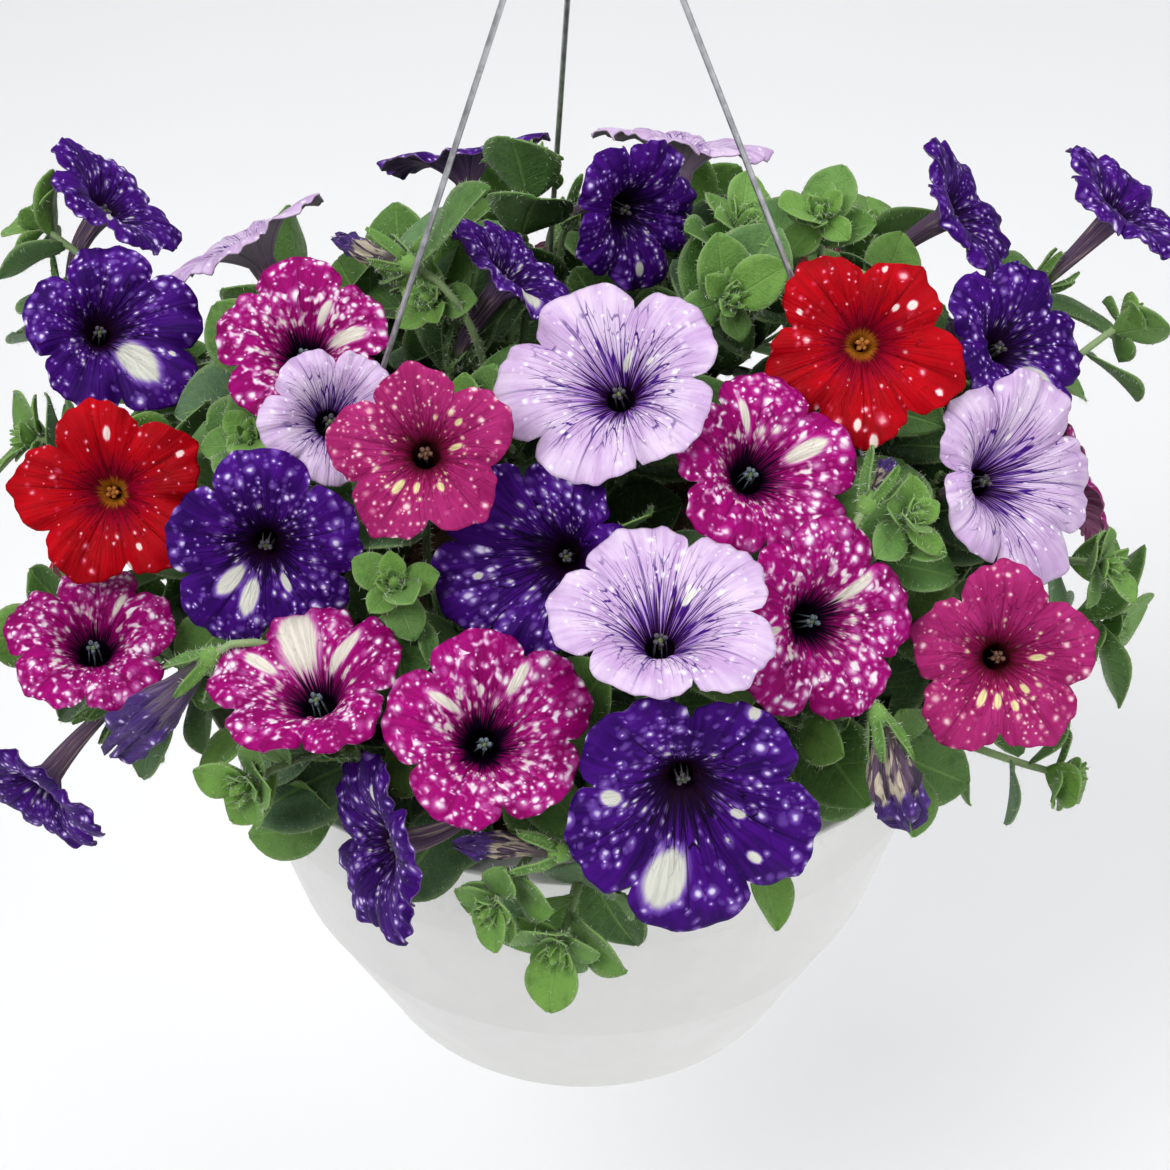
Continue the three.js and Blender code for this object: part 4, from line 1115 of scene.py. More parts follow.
class Finish(Nodes):
    """A material's nodes; constants go on its Principled shader's own sockets."""

    def __init__(self, name, roughness, **sockets):
        self.material = bpy.data.materials.new(name)
        self.material.use_nodes = True
        super().__init__(self.material.node_tree)
        self.shader = self.tree.nodes["Principled BSDF"].inputs
        self.shader["Roughness"].default_value = roughness
        for label, value in sockets.items():
            self.shader[label.replace("_", " ")].default_value = value

    def made(self, colour, normal=None, roughness=None):
        """The material, with what changes over its surface fed to its shader."""
        self.feed(self.shader["Base Color"], colour)
        self.feed(self.shader["Normal"], normal)
        self.feed(self.shader["Roughness"], roughness)
        return self.material


def petal_material(name, look):
    """The face of the lobes: a ground colour with veins, specks, mottling and blotches; painted
    shade in the creases.
    """
    n = Finish(f"petal {name}", 0.5, Specular_IOR_Level=0.06)
    flat, ring = n.attribute("flat", True), n.attribute("ring", True)
    reach, blotch, lobe = n.attribute("reach"), n.attribute("blotch"), n.attribute("lobe")
    throat_end = look["throat_end"]
    uneven = n.noise(flat, 2.2, 3.0)
    streak = n.streaks(ring, 14.0, 2.0)
    ground = n.plus(n.times(uneven, 0.6), n.times(streak, 0.4))
    colour = n.mix(n.step(ground, 0.36, 0.66), look["deep"], look["light"])
    near = n.plus(reach, n.stray(streak, 0.5))
    near = n.step(near, throat_end, look["inner_end"], 1.0, 0.0)
    colour = n.mix(near, colour, look["inner"])

    wobble = n.add("ShaderNodeTexNoise", {"Vector": flat, "Scale": 8.0}).outputs["Color"]
    bent = n.vectors("ADD", flat, n.scale(wobble, (0.06, 0.06, 0.06)))
    cores, halos = [], []
    for scale, share, size, halo in look["specks"]:
        specks = n.group(specks_group(), Vector=bent, Scale=float(scale), Share=share,
                         Size=size, Halo=halo)
        cores.append(specks["Core"])
        halos.append(specks["Halo"])
    if look["mottle"]:
        window = n.step(reach, throat_end - 0.02, throat_end + 0.08)
        window = n.times(window, n.step(reach, 0.45, 0.95, 1.0, 0.86))
        cloud = n.times(n.noise(flat, 8.5, 1.0, 0.2), window)
        cores.append(n.times(n.step(cloud, 0.56, 0.72), look["mottle"]))
        halos.append(n.step(cloud, 0.50, 0.64))
    start = n.step(reach, look["specks_start"] - 0.04, look["specks_start"] + 0.14)
    halo, core = n.times(n.most(*halos), start), n.times(n.most(*cores), start)
    colour = n.mix(n.times(halo, 0.85), colour, look["halo"])
    close = n.step(reach, 0.40, 0.62, 1.0, 0.0)
    colour = n.mix(core, colour, n.mix(close, look["mark"], look["blotch"]))

    ragged = n.plus(blotch, n.stray(n.streaks(ring, 10.0, 3.0), look["ragged"]))
    colour = n.mix(n.times(n.step(ragged, 0.25, 0.55), 0.8), colour, look["halo"])
    cream = n.mix(n.step(streak, 0.4, 0.62), look["blotch"], darker(look["blotch"], 0.84))
    colour = n.mix(n.step(ragged, 0.46, 0.78), colour, cream)

    turns, out, width, start, end, strength = look["veins"]
    veins = n.group(veins_group(), Ring=ring, Turns=(turns, turns, out), Reach=reach,
                    Width=width, Start=start, End=end)["Mask"]
    fine = n.group(veins_group(), Ring=ring, Turns=(turns * 2.3, turns * 2.3, out * 2.0),
                   Reach=reach, Width=width * 1.1, Start=start, End=end * 0.9)["Mask"]
    aside = n.math("ABSOLUTE", lobe)
    rib = n.times(n.step(aside, 0.003, 0.018, 1.0, 0.0), n.step(reach, 0.5, 1.0, 0.9, 0.15))
    # painted shade: a dark line along the crease between the lobes, drawn in the vein colour with
    # the veins
    fold = n.step(aside, 0.488, 0.5, 0.0, 0.4)
    lines = n.most(veins, n.times(fine, 0.7), rib, fold)
    pale = n.times(n.most(core, n.step(ragged, 0.48, 0.72)), 0.75)
    shown = n.times(n.times(lines, strength), n.minus(1.0, pale))
    colour = n.mix(shown, colour, look.get("vein", darker(look["deep"], 0.18)))

    jag = n.stray(n.streaks(ring, 20.0, 1.0, 2.0), look["jag"] * 4)
    edge = n.plus(reach, jag)
    throat = n.step(edge, throat_end - 0.04, throat_end + 0.03, 1.0, 0.0)
    colour = n.mix(throat, colour, look["throat"])
    if "throat_edge" in look:
        spiked = n.step(n.plus(reach, n.times(jag, 3.5)), 0.15, 0.25, 1.0, 0.0)
        band = n.times(n.step(edge, 0.13, 0.16), spiked)
        colour = n.mix(n.times(band, 0.6), colour, look["throat_edge"])

    skin = n.group(cells_group(), Vector=flat, Scale=90.0)["Height"]
    height = n.plus(n.streaks(ring, 22.0, 1.6, 2.0), n.times(skin, 0.10))
    height = n.minus(height, n.times(lines, 0.45))
    return n.made(colour, n.bump(height, 0.6, 0.0008), n.step(uneven, 0.2, 0.8, 0.44, 0.6))


def petal_back_material(name, look):
    """The back of the lobes and the tube: paler, greyer, with dark ribs along it."""
    n = Finish(f"petal back {name}", 0.65, Specular_IOR_Level=0.12)
    ring, reach, lobe = n.attribute("ring", True), n.attribute("reach"), n.attribute("lobe")
    pale = tuple(0.55 * c + 0.45 * g for c, g in zip(look["light"], (0.30, 0.22, 0.30)))
    streak = n.streaks(ring, 16.0, 1.6)
    colour = n.mix(n.step(reach, -0.1, 0.5), look.get("tube", TUBE_COLOUR), pale)
    colour = n.mix(n.step(streak, 0.42, 0.6, 0.0, 0.5), colour, look["deep"])
    cream = n.step(n.streaks(ring, 5.0, 1.2, 3.0, 0.4), 0.54, 0.64)
    cream = n.times(cream, n.step(reach, 0.3, -0.1))
    colour = n.mix(n.times(cream, 0.6), colour, (0.50, 0.40, 0.33))
    rib = n.step(n.math("ABSOLUTE", lobe), 0.01, 0.04, 1.0, 0.0)
    colour = n.mix(n.times(rib, 0.55), colour, darker(look["deep"], 0.3))
    base = n.step(reach, -1.0, -0.75, 1.0, 0.0)
    colour = n.mix(n.times(base, 0.8), colour, (0.22, 0.30, 0.12))
    return n.made(colour, n.bump(streak, 0.5, 0.0007))


def furled_material(name, look):
    """A furled bloom: cream streaks and painted shade in creases along it, and a speckled purple
    tip.
    """
    n = Finish(f"furled {name}", 0.65, Sheen_Weight=0.06)
    ring, reach = n.attribute("ring", True), n.attribute("reach")
    streak = n.streaks(ring, 4.5, 1.5, 4.0, 0.5)
    fine = n.streaks(ring, 15.0, 4.0, 3.0, 0.6)
    colour = n.mix(n.step(streak, 0.4, 0.6), look["deep"], look["light"])
    body = n.times(n.step(reach, 0.12, 0.32), n.step(reach, 0.72, 0.9, 1.0, 0.15))
    cream = n.step(n.noise(n.scale(ring, (1.9, 1.9, 2.0)), 1.3, 2.5, 0.8), 0.48, 0.55)
    colour = n.mix(n.times(cream, n.times(body, look["cream"])), colour, (0.60, 0.52, 0.38))
    # painted shade: fine dark streaks in the creases along the furled bloom
    colour = n.mix(n.step(fine, 0.58, 0.70, 0.0, 0.45), colour, darker(look["deep"], 0.35))
    purple = PETALS["purple"]
    specks = n.group(specks_group(), Vector=n.scale(ring, (1.0, 1.0, 3.0)), Scale=4.6,
                     Share=0.85, Size=0.36, Halo=1.8)
    tip = n.mix(streak, purple["deep"], purple["light"])
    tip = n.mix(n.times(specks["Halo"], 0.8), tip, purple["halo"])
    tip = n.mix(specks["Core"], tip, purple["mark"])
    edge = n.plus(reach, n.times(streak, 0.4))
    colour = n.mix(n.step(edge, look["tip"], look["tip"] + 0.10), colour, tip)
    foot = n.step(reach, 0.0, 0.3, 1.0, 0.0)
    colour = n.mix(n.times(foot, 0.8), colour, (0.16, 0.15, 0.09))
    return n.made(colour, n.bump(fine, 0.9, 0.0012))


def leaf_material(settings):
    """A soft matt leaf with a pale midrib and side veins; young leaves are yellower, and
    those deep inside the mound are darkened with painted shade."""
    n = Finish("leaf", 0.6, Sheen_Weight=0.08, Sheen_Roughness=0.4, Specular_IOR_Level=0.22)
    blade, young, place = n.attribute("blade", True), n.attribute("young"), n.object_place()
    across, out, number = n.add("ShaderNodeSeparateXYZ", {"Vector": blade}).outputs
    side = n.math("ABSOLUTE", across)
    old = n.mix(n.step(n.noise(place, 38.0, 3.0), 0.35, 0.65), settings.leaf_deep,
                settings.leaf_light)
    colour = n.mix(n.step(young, 0.0, 1.0), old, settings.leaf_young)
    tint = n.step(n.math("FRACT", n.times(number, 7.31)), 0.3, 0.9)
    tint = n.times(tint, n.step(young, 0.0, 0.5, 0.85, 0.2))
    colour = n.mix(tint, colour, (0.118, 0.205, 0.120))
    # painted shade: leaves are darkened towards the inside of the mound, where the leaves over
    # them shade them
    away = n.vectors("SUBTRACT", place, tuple(DOME_CENTRE * MM))
    shell = n.add("ShaderNodeVectorMath", {0: n.scale(away, tuple(1 / (DOME_REACH * MM)))},
                  operation="LENGTH").outputs["Value"]
    colour = n.mix(n.step(shell, 0.66, 0.98, 0.72, 0.0), colour, (0.012, 0.034, 0.009))
    midrib = n.step(side, 0.02, 0.075, 1.0, 0.0)
    slant = n.times(n.minus(out, n.times(side, 0.22)), 8.0)
    wave = n.math("ABSOLUTE", n.minus(n.math("FRACT", slant), 0.5))
    veins = n.times(n.step(wave, 0.0, 0.09, 1.0, 0.0), n.step(side, 0.9, 0.4))
    net = n.step(n.net(place, 420.0), 0.02, 0.14, 1.0, 0.0)
    lines = n.most(midrib, n.times(veins, 0.6), n.times(net, 0.22))
    colour = n.mix(n.times(lines, 0.5), colour, (0.20, 0.36, 0.09))
    mottled = n.noise(place, 210.0, 4.0)
    colour = n.mix(n.step(mottled, 0.5, 0.75, 0.0, 0.35), colour, (0.020, 0.050, 0.016))
    colour = n.mix(n.times(n.step(side, 0.84, 1.0), 0.4), colour, (0.30, 0.42, 0.17))
    skin = n.group(cells_group(), Vector=place, Scale=1400.0)["Height"]
    height = n.plus(n.times(skin, 0.16), n.times(n.noise(place, 160.0, 2.0), 0.7))
    height = n.minus(height, n.times(lines, 0.35))
    rough = n.step(n.noise(place, 300.0, 2.0), 0.3, 0.7, 0.52, 0.72)
    return n.made(colour, n.bump(height, 0.7, 0.0010), rough)


def stem_material(settings):
    n = Finish("stem", 0.6, Sheen_Weight=0.15)
    place = n.object_place()
    uneven = n.step(n.noise(place, 60.0, 3.0), 0.3, 0.7)
    colour = n.mix(uneven, settings.stem_light, settings.stem_deep)
    return n.made(colour, n.bump(n.noise(place, 900.0, 2.0), 0.4, 0.0004))


def hair_material():
    n = Finish("plant hair", 0.5, Specular_IOR_Level=0.4)
    uneven = n.step(n.noise(n.object_place(), 400.0, 1.0), 0.3, 0.7)
    return n.made(n.mix(uneven, (0.52, 0.60, 0.42), (0.82, 0.84, 0.74)))


def stamen_material(name, pale, dark):
    n = Finish(name.replace("_", " "), 0.7)
    grain = n.noise(n.object_place(), 2200.0, 3.0)
    return n.made(n.mix(n.step(grain, 0.35, 0.65), pale, dark), n.bump(grain, 0.6, 0.0003))


def pot_material(settings):
    """Moulded white plastic, faintly rippled, with splashes of compost under its rim."""
    n = Finish("pot plastic", 0.36, Specular_IOR_Level=0.5)
    place = n.object_place()
    height = n.add("ShaderNodeSeparateXYZ", {"Vector": place}).outputs[2]
    colour = n.mix(n.step(n.noise(place, 9.0, 2.0), 0.3, 0.7), settings.pot_colour,
                   darker(settings.pot_colour, 0.94))
    near_rim = n.step(height, (RIM_Z - 46) * MM, (RIM_Z - 2) * MM)
    low = n.step(height, (POT_FOOT_Z + 22) * MM, POT_FOOT_Z * MM)
    where = n.most(n.times(near_rim, 0.7), n.times(low, 0.8))
    dirt = n.group(grime_group(), Vector=place, Scale=26.0, Low=0.53, High=0.68)["Mask"]
    colour = n.mix(n.times(n.times(dirt, where), 0.5), colour, (0.36, 0.29, 0.22))
    return n.made(colour, n.bump(n.noise(place, 520.0, 2.0), 0.15, 0.0004),
                  n.step(n.noise(place, 70.0, 3.0), 0.3, 0.7, 0.30, 0.46))


def compost_material():
    n = Finish("compost", 0.95, Specular_IOR_Level=0.15)
    place = n.object_place()
    coarse, fine = n.noise(place, 90.0, 4.0), n.noise(place, 700.0, 4.0)
    colour = n.mix(n.step(coarse, 0.35, 0.65), (0.016, 0.009, 0.006), (0.060, 0.034, 0.020))
    colour = n.mix(n.step(fine, 0.62, 0.72, 0.0, 0.6), colour, (0.16, 0.10, 0.06))
    return n.made(colour, n.bump(fine, 0.9, 0.0015))


def steel_material():
    """Drawn zinc-coated wire: dull grey with fine spangle and a little tarnish."""
    n = Finish("hanger wire", 0.38, Metallic=0.9)
    place = n.object_place()
    spangle = n.noise(place, 260.0, 3.0)
    colour = n.mix(n.step(spangle, 0.35, 0.65), (0.46, 0.47, 0.48), (0.62, 0.63, 0.64))
    tarnish = n.group(grime_group(), Vector=place, Scale=60.0, Low=0.52, High=0.66)["Mask"]
    colour = n.mix(n.times(tarnish, 0.45), colour, (0.20, 0.18, 0.16))
    return n.made(colour, n.bump(n.noise(place, 1500.0, 2.0), 0.2, 0.0002),
                  n.step(spangle, 0.3, 0.7, 0.3, 0.5))


def make_looks(plant, pot):
    """Every material by its name."""
    looks = {
        "leaf": leaf_material(plant), "stem": stem_material(plant), "hair": hair_material(),
        "pot": pot_material(pot), "compost": compost_material(), "steel": steel_material(),
    }
    for name, look in PETALS.items():
        looks[f"petal_{name}"] = petal_material(name, look)
        looks[f"petal_back_{name}"] = petal_back_material(name, look)
    for name, look in FURLED_LOOKS.items():
        looks[f"furled_{name}"] = furled_material(name, look)
    for name, colours in STAMEN_LOOKS.items():
        looks[name] = stamen_material(name, *colours)
    return looks


# ---------------------------------------------------------------- geometry node trees
HAIR_LEAN = 0.55
FULL_TURN = 6.28


def geometry_tree(name, build, **inputs):
    """A geometry node tree, built once, that ends in Realize Instances and Set Material."""
    tree = bpy.data.node_groups.get(name)
    if tree is not None:
        return tree
    tree = bpy.data.node_groups.new(name, "GeometryNodeTree")
    tree.interface.new_socket("Geometry", in_out="INPUT", socket_type="NodeSocketGeometry")
    add_inputs(tree, inputs, "NodeSocketMaterial")
    tree.interface.new_socket("Geometry", in_out="OUTPUT", socket_type="NodeSocketGeometry")
    n = Nodes(tree)
    given = n.add("NodeGroupInput").outputs
    made, kept = build(n, given)
    real = n.add("GeometryNodeRealizeInstances", {"Geometry": made}).outputs[0]
    painted = n.add("GeometryNodeSetMaterial", {
        "Geometry": real, "Material": given["Material"],
    }).outputs[0]
    if kept is not None:
        both = n.add("GeometryNodeJoinGeometry")
        tree.links.new(painted, both.inputs[0])
        tree.links.new(kept, both.inputs[0])
        painted = both.outputs[0]
    n.add("NodeGroupOutput", {"Geometry": painted})
    return tree


def tube_tree():
    """A round tube along each curve, as thick as the curve's own radius."""
    def build(n, given):
        profile = n.add("GeometryNodeCurvePrimitiveCircle", {
            "Resolution": given["Sides"], "Radius": 1.0,
        }).outputs[0]
        tube = n.add("GeometryNodeCurveToMesh", {
            "Curve": given["Geometry"], "Profile Curve": profile, "Fill Caps": True,
            "Scale": n.add("GeometryNodeInputRadius").outputs[0],
        }).outputs[0]
        return n.add("GeometryNodeSetShadeSmooth", {"Geometry": tube}).outputs[0], None
    return geometry_tree("tube along paths", build, Sides=8, Material=None)


def hair_tree():
    """Fine tapered hairs that stand on a surface, denser where its fuzz is high."""
    def build(n, given):
        fuzz = n.add("GeometryNodeInputNamedAttribute", {"Name": "fuzz"}, data_type="FLOAT")
        spots = n.add("GeometryNodeDistributePointsOnFaces", {
            "Mesh": given["Geometry"], "Density": n.times(fuzz.outputs[0], given["Density"]),
            "Seed": given["Seed"],
        }).outputs
        hair = n.add("GeometryNodeMeshCone", {
            "Vertices": 3, "Radius Top": 0.0, "Radius Bottom": given["Width"],
            "Depth": given["Length"],
        }, fill_type="NGON").outputs[0]
        lean = n.add("FunctionNodeRandomValue", {
            0: (-HAIR_LEAN, -HAIR_LEAN, 0.0), 1: (HAIR_LEAN, HAIR_LEAN, FULL_TURN),
            "Seed": given["Seed"],
        }, data_type="FLOAT_VECTOR").outputs[0]
        tilt = n.add("FunctionNodeRotateRotation", {
            "Rotation": spots["Rotation"], "Rotate By": lean,
        }, rotation_space="LOCAL").outputs[0]
        size = n.add("FunctionNodeRandomValue", {2: 0.55, 3: 1.2, "Seed": given["Seed"]},
                     data_type="FLOAT").outputs[1]
        stood = n.add("GeometryNodeInstanceOnPoints", {
            "Points": spots["Points"], "Instance": hair, "Rotation": tilt, "Scale": size,
        }).outputs[0]
        return stood, given["Geometry"]
    return geometry_tree("hairs", build, Density=3e5, Length=0.001, Width=0.00005, Seed=1,
                         Material=None)


def crumb_tree():
    """Rough grains that lie on a surface."""
    def build(n, given):
        normal = n.add("GeometryNodeInputNormal").outputs[0]
        up = n.add("ShaderNodeSeparateXYZ", {"Vector": normal}).outputs[2]
        top = n.add("FunctionNodeCompare", {0: up, 1: 0.5}, operation="GREATER_THAN").outputs[0]
        spots = n.add("GeometryNodeDistributePointsOnFaces", {
            "Mesh": given["Geometry"], "Density": given["Density"], "Seed": given["Seed"],
            "Selection": top,
        }).outputs
        grain = n.add("GeometryNodeMeshIcoSphere", {
            "Radius": given["Size"], "Subdivisions": 2,
        }).outputs[0]
        rough = n.noise(n.add("GeometryNodeInputPosition").outputs[0], 900.0, 1.0)
        push = n.add("ShaderNodeVectorMath", {0: normal, "Scale": n.stray(rough, given["Size"])},
                     operation="SCALE").outputs[0]
        grain = n.add("GeometryNodeSetPosition", {"Geometry": grain, "Offset": push}).outputs[0]
        turn, size = (
            n.add("FunctionNodeRandomValue", {0: low, 1: high, "Seed": given["Seed"]},
                  data_type="FLOAT_VECTOR").outputs[0]
            for low, high in (((0.0, 0.0, 0.0), (FULL_TURN, FULL_TURN, FULL_TURN)),
                              ((0.4, 0.4, 0.3), (1.5, 1.2, 0.9)))
        )
        laid = n.add("GeometryNodeInstanceOnPoints", {
            "Points": spots["Points"], "Instance": grain, "Rotation": turn, "Scale": size,
        }).outputs[0]
        return laid, given["Geometry"]
    return geometry_tree("grains", build, Density=3e4, Size=0.0015, Seed=1, Material=None)


def grown(piece, tree, inputs):
    """The piece with a node tree's result made plain; its old mesh or curve is removed."""
    modifier = piece.modifiers.new(tree.name, "NODES")
    modifier.node_group = tree
    for item in tree.interface.items_tree:
        if item.item_type == "SOCKET" and item.in_out == "INPUT" and item.name in inputs:
            modifier[item.identifier] = inputs[item.name]
    return plain(piece)


def plain(piece):
    """A new object of the same name with every modifier's result in its own mesh."""
    name = piece.name
    graph = bpy.context.evaluated_depsgraph_get()
    mesh = bpy.data.meshes.new_from_object(piece.evaluated_get(graph), depsgraph=graph)
    bpy.data.objects.remove(piece)
    mesh.name = name
    return placed(name, mesh)


def joined(pieces):
    """One object from several, under the first one's name."""
    bpy.ops.object.select_all(action="DESELECT")
    for piece in pieces:
        piece.select_set(True)
    bpy.context.view_layer.objects.active = pieces[0]
    bpy.ops.object.join()
    return pieces[0]


def path_object(name, paths):
    """A curve object of straight-stepped paths, each as (points, radii) in millimetres."""
    curve = bpy.data.curves.new(name, "CURVE")
    curve.dimensions = "3D"
    for points, radii in paths:
        spline = curve.splines.new("POLY")
        spline.points.add(len(points) - 1)
        for spot, place, radius in zip(spline.points, points, radii):
            spot.co = (*(place * MM), 1.0)
            spot.radius = radius * MM
    return placed(name, curve)


def make_tubes(name, paths, sides, material):
    return grown(path_object(name, paths), tube_tree(), {"Sides": sides, "Material": material})


# ---------------------------------------------------------------- foliage
LEAF_ROWS = 13
LEAF_COLUMNS = 7
LEAF_THICK = 0.45
LEAF_BROADER = 1.28
STALK_POINTS = 14


def add_leaf(soup, leaf, seed, rows=LEAF_ROWS, cols=LEAF_COLUMNS, thick=LEAF_THICK, slim=False):
    """An oval leaf on a short stalk, drooping, keeled and waved; a strap where it is slim."""
    along, face, length = leaf["along"], leaf["face"], leaf["length"]
    across = np.cross(along, face)
    s = np.linspace(0, 1, rows)[:, None]
    c = np.linspace(-1, 1, cols)[None, :]
    if slim:
        share = (s + 0.16) ** 0.45 * np.maximum(0.0, 1.02 - s) ** 0.55
    else:
        share = (s + 0.02) ** 0.85 * np.maximum(0.0, 1 - s) ** 0.72
    share = np.maximum(share / share.max(), 0.09)
    half = share * leaf["width"] / 2 * (1.0 if slim else LEAF_BROADER)
    droop = length * (0.1 * s - 0.16 * s * s)
    keel = np.abs(c) ** 1.3 * half * 0.22 - 0.35 * np.exp(-(c / 0.16) ** 2) * (s > 0.05)
    wave = 0.018 * length * np.sin(9 * s + 2.1 * seed) * c * np.abs(c)
    curl = 0.05 * length * math.sin(1.7 * seed) * s * s
    grid = (
        leaf["foot"] + (length * s)[..., None] * along
        + (c * half + curl)[..., None] * across
        + (droop + keel + wave + 0 * c)[..., None] * face
    )
    count = rows * cols
    blade = np.stack(np.broadcast_arrays(c, s, np.full((rows, cols), seed)), -1)
    fuzz = np.broadcast_to(0.03 + 0.97 * (np.abs(c) > 0.8) + 0 * s, (rows, cols)).ravel()
    if slim:
        fuzz = np.ones(count)
    add_sheet(soup, grid, thick, False, (0, 0), blade=blade.reshape(-1, 3),
              young=np.full(count, leaf["young"]), fuzz=fuzz)


def add_calyx(soup, flower, seed):
    """The green cup under a bloom with its five narrow sepals."""
    back = flower["back"]
    along = -back
    a, b = ring_frame(along, flower["u"])
    seat = flower["base"] + back * GAP
    cup = [(1.2, -6.2), (2.2, -5.0), (3.0, -3.2), (3.2, -1.4), (2.9, 0.4), (2.3, 0.5), (1.95, 0.5)]
    add_lathe(soup, seat, along, flower["u"], cup, 12, 0, young=0.55, fuzz=0.9)
    for i in range(5):
        out = spoke(a, b, 2 * math.pi * i / 5)
        way, face = leant(along, out, math.radians(24 + 9 * math.sin(seed + 2.2 * i)))
        sepal = {
            "foot": seat - along * 1.8 + out * 2.6, "along": way, "face": -face,
            "length": 13.0 + 1.6 * math.sin(3.1 * i + seed), "width": 3.4, "young": 0.45,
        }
        add_leaf(soup, sepal, seed + i, 8, 5, 0.6, slim=True)


def add_bud(soup, stalk, seed, settings):
    """A small closed bud at a shoot's tip, in its sepals and a rosette of young leaves."""
    axis = -stalk["back"]
    a, b = ring_frame(axis, vec(1, 0.2, 0.1))
    tip = stalk["end"] - axis * 1.0
    shape = [(0.5, 0), (1.5, 1.0), (1.9, 2.6), (1.6, 4.6), (1.0, 6.2), (0.2, 7.2)]
    add_lathe(soup, tip, axis, a, shape, 9, 0, young=1.0, fuzz=1.0)
    for i in range(5):
        out = spoke(a, b, 2 * math.pi * i / 5 + seed)
        way = unit(axis + 0.35 * out)
        sepal = {"foot": tip + out * 1.2, "along": way, "face": unit(out - (out @ way) * way),
                 "length": 7.5, "width": 2.2, "young": 0.9}
        add_leaf(soup, sepal, seed + i, 6, 4, 0.5, slim=True)
    for i in range(settings.tip_leaves):
        out = spoke(a, b, math.radians(GOLDEN_TURN * i) + seed)
        way, face = leant(axis, out, math.radians(34 + 9 * i))
        length = 7.0 + 1.3 * i
        small = {"foot": tip - axis * (0.6 * i - 0.5) + out * 0.9, "along": way, "face": face,
                 "length": length, "width": 0.62 * length, "young": 1.0 - 0.07 * i}
        add_leaf(soup, small, seed + 1.7 * i, 9, 5, 0.5)


def make_foliage(cell, plan, looks, settings):
    """One stem's stalks, leaves, calyces and buds, with their hairs."""
    stalks = plan.stalks(cell)
    soup = Soup()
    line = spaced(catmull, stem_points(cell), 16)
    paths = [(line, np.linspace(STEM_RADIUS * 1.1, STEM_RADIUS * 0.8, len(line)))]
    for number, stalk in enumerate(stalks):
        line = spaced(bezier, stalk["points"], STALK_POINTS)
        sway = np.sin(np.linspace(0, math.pi, len(line)))[:, None] * 1.1
        line = line + sway * np.array([math.sin(number), math.cos(2.3 * number), 0.3])
        paths.append((line, np.linspace(STALK_RADIUS * 1.35, STALK_RADIUS * 0.95, len(line))))
        seed = 1.3 * number + 5.1 * cell
        for i, leaf in enumerate(stalk["leaves"]):
            add_leaf(soup, leaf, seed + 0.77 * i)
        if stalk["flower"]:
            add_calyx(soup, stalk["flower"], seed)
        elif not stalk["inner"]:
            add_bud(soup, stalk, seed, settings)
    leaves = soup.object(f"foliage_{CELL_NAMES[cell]}", [looks["leaf"]])
    stems = make_tubes(f"stems_{CELL_NAMES[cell]}", paths, 9, looks["stem"])
    fuzz = stems.data.attributes.new("fuzz", "FLOAT", "POINT")
    fuzz.data.foreach_set("value", [1.0] * len(stems.data.vertices))
    whole = joined([leaves, stems])
    return grown(whole, hair_tree(), {
        "Density": settings.hair_density, "Length": settings.hair_length,
        "Width": settings.hair_width, "Seed": cell + 1, "Material": looks["hair"],
    })


# ---------------------------------------------------------------- pot, compost, hanger
def turned(name, profile, sides, material, shape=None):
    """A closed piece turned round the basket's axis; shape moves its points."""
    soup = Soup()
    add_lathe(soup, vec(0, 0, 0), UP, vec(1, 0, 0), profile, sides)
    if shape:
        shape(soup.points[0])
    return soup.object(name, [material])


def drilled(piece, holes, low, high):
    """The piece with holes cut through it, as (x, y, radius) in millimetres."""
    soup = Soup()
    for x, y, radius in holes:
        add_lathe(soup, vec(x, y, 0), UP, vec(1, 0, 0), [(radius, low), (radius, high)], 20)
    cutter = soup.object("hole_cutter", [])
    modifier = piece.modifiers.new("holes", "BOOLEAN")
    modifier.operation, modifier.solver, modifier.object = "DIFFERENCE", "EXACT", cutter
    fresh = plain(piece)
    bpy.data.objects.remove(cutter)
    return fresh


def around(radius, turns, size):
    return [(radius * math.sin(t), -radius * math.cos(t), size) for t in turns]


WIRE_TURNS = [math.radians(FIRST_EDGE + 120 * i) for i in range(3)]


def arc(centre, radius, first, last, steps):
    """Points of a profile's rounded corner, its angles in degrees."""
    return [(centre[0] + radius * math.cos(math.radians(t)),
             centre[1] + radius * math.sin(math.radians(t)))
            for t in np.linspace(first, last, steps)]


def make_pot(looks):
    """The turned pot: a tapering wall with two shallow steps, under a rolled flange."""
    low, wall = POT_FOOT_Z, RIM_RADIUS - POT_INSET
    first, second = (low + POT_HEIGHT * share for share in POT_STEPS)
    profile = [
        (0.5, low + 0.4), (POT_BASE_RADIUS - 10, low + 0.4), (POT_BASE_RADIUS - 9, low),
        *arc((POT_BASE_RADIUS - 2.5, low + 2.5), 2.5, -90, -8, 6),
        (wall - 19, first), (wall - 18.6, first + 0.5),
        (wall - 4.4, second), (wall - 3.4, second + 1), (wall + 0.4, RIM_Z - 5.5),
        *arc((wall + 2.4, RIM_Z - 4.4), 1.8, 180, 90, 5),
        *arc((RIM_RADIUS - 1.2, RIM_Z - 1.2), 1.2, -90, 90, 9), (wall + 1.2, RIM_Z),
        *arc((wall - WALL + 2.2, RIM_Z - 1.2), 1.2, 90, 180, 5),
        (wall - 4 - WALL, second), (wall - 19 - WALL, first),
        (POT_BASE_RADIUS - 1, low + WALL + 1), (0.5, low + WALL + 1),
    ]
    pot = turned("pot", profile, 128, looks["pot"])
    pot = drilled(pot, around(WIRE_HOLE_AT, WIRE_TURNS, WIRE_HOLE_RADIUS), RIM_Z - 8, RIM_Z + 4)
    drains = around(50, [math.radians(72 * i) for i in range(5)], 4)
    return drilled(pot, drains, low - 3, low + WALL + 6)


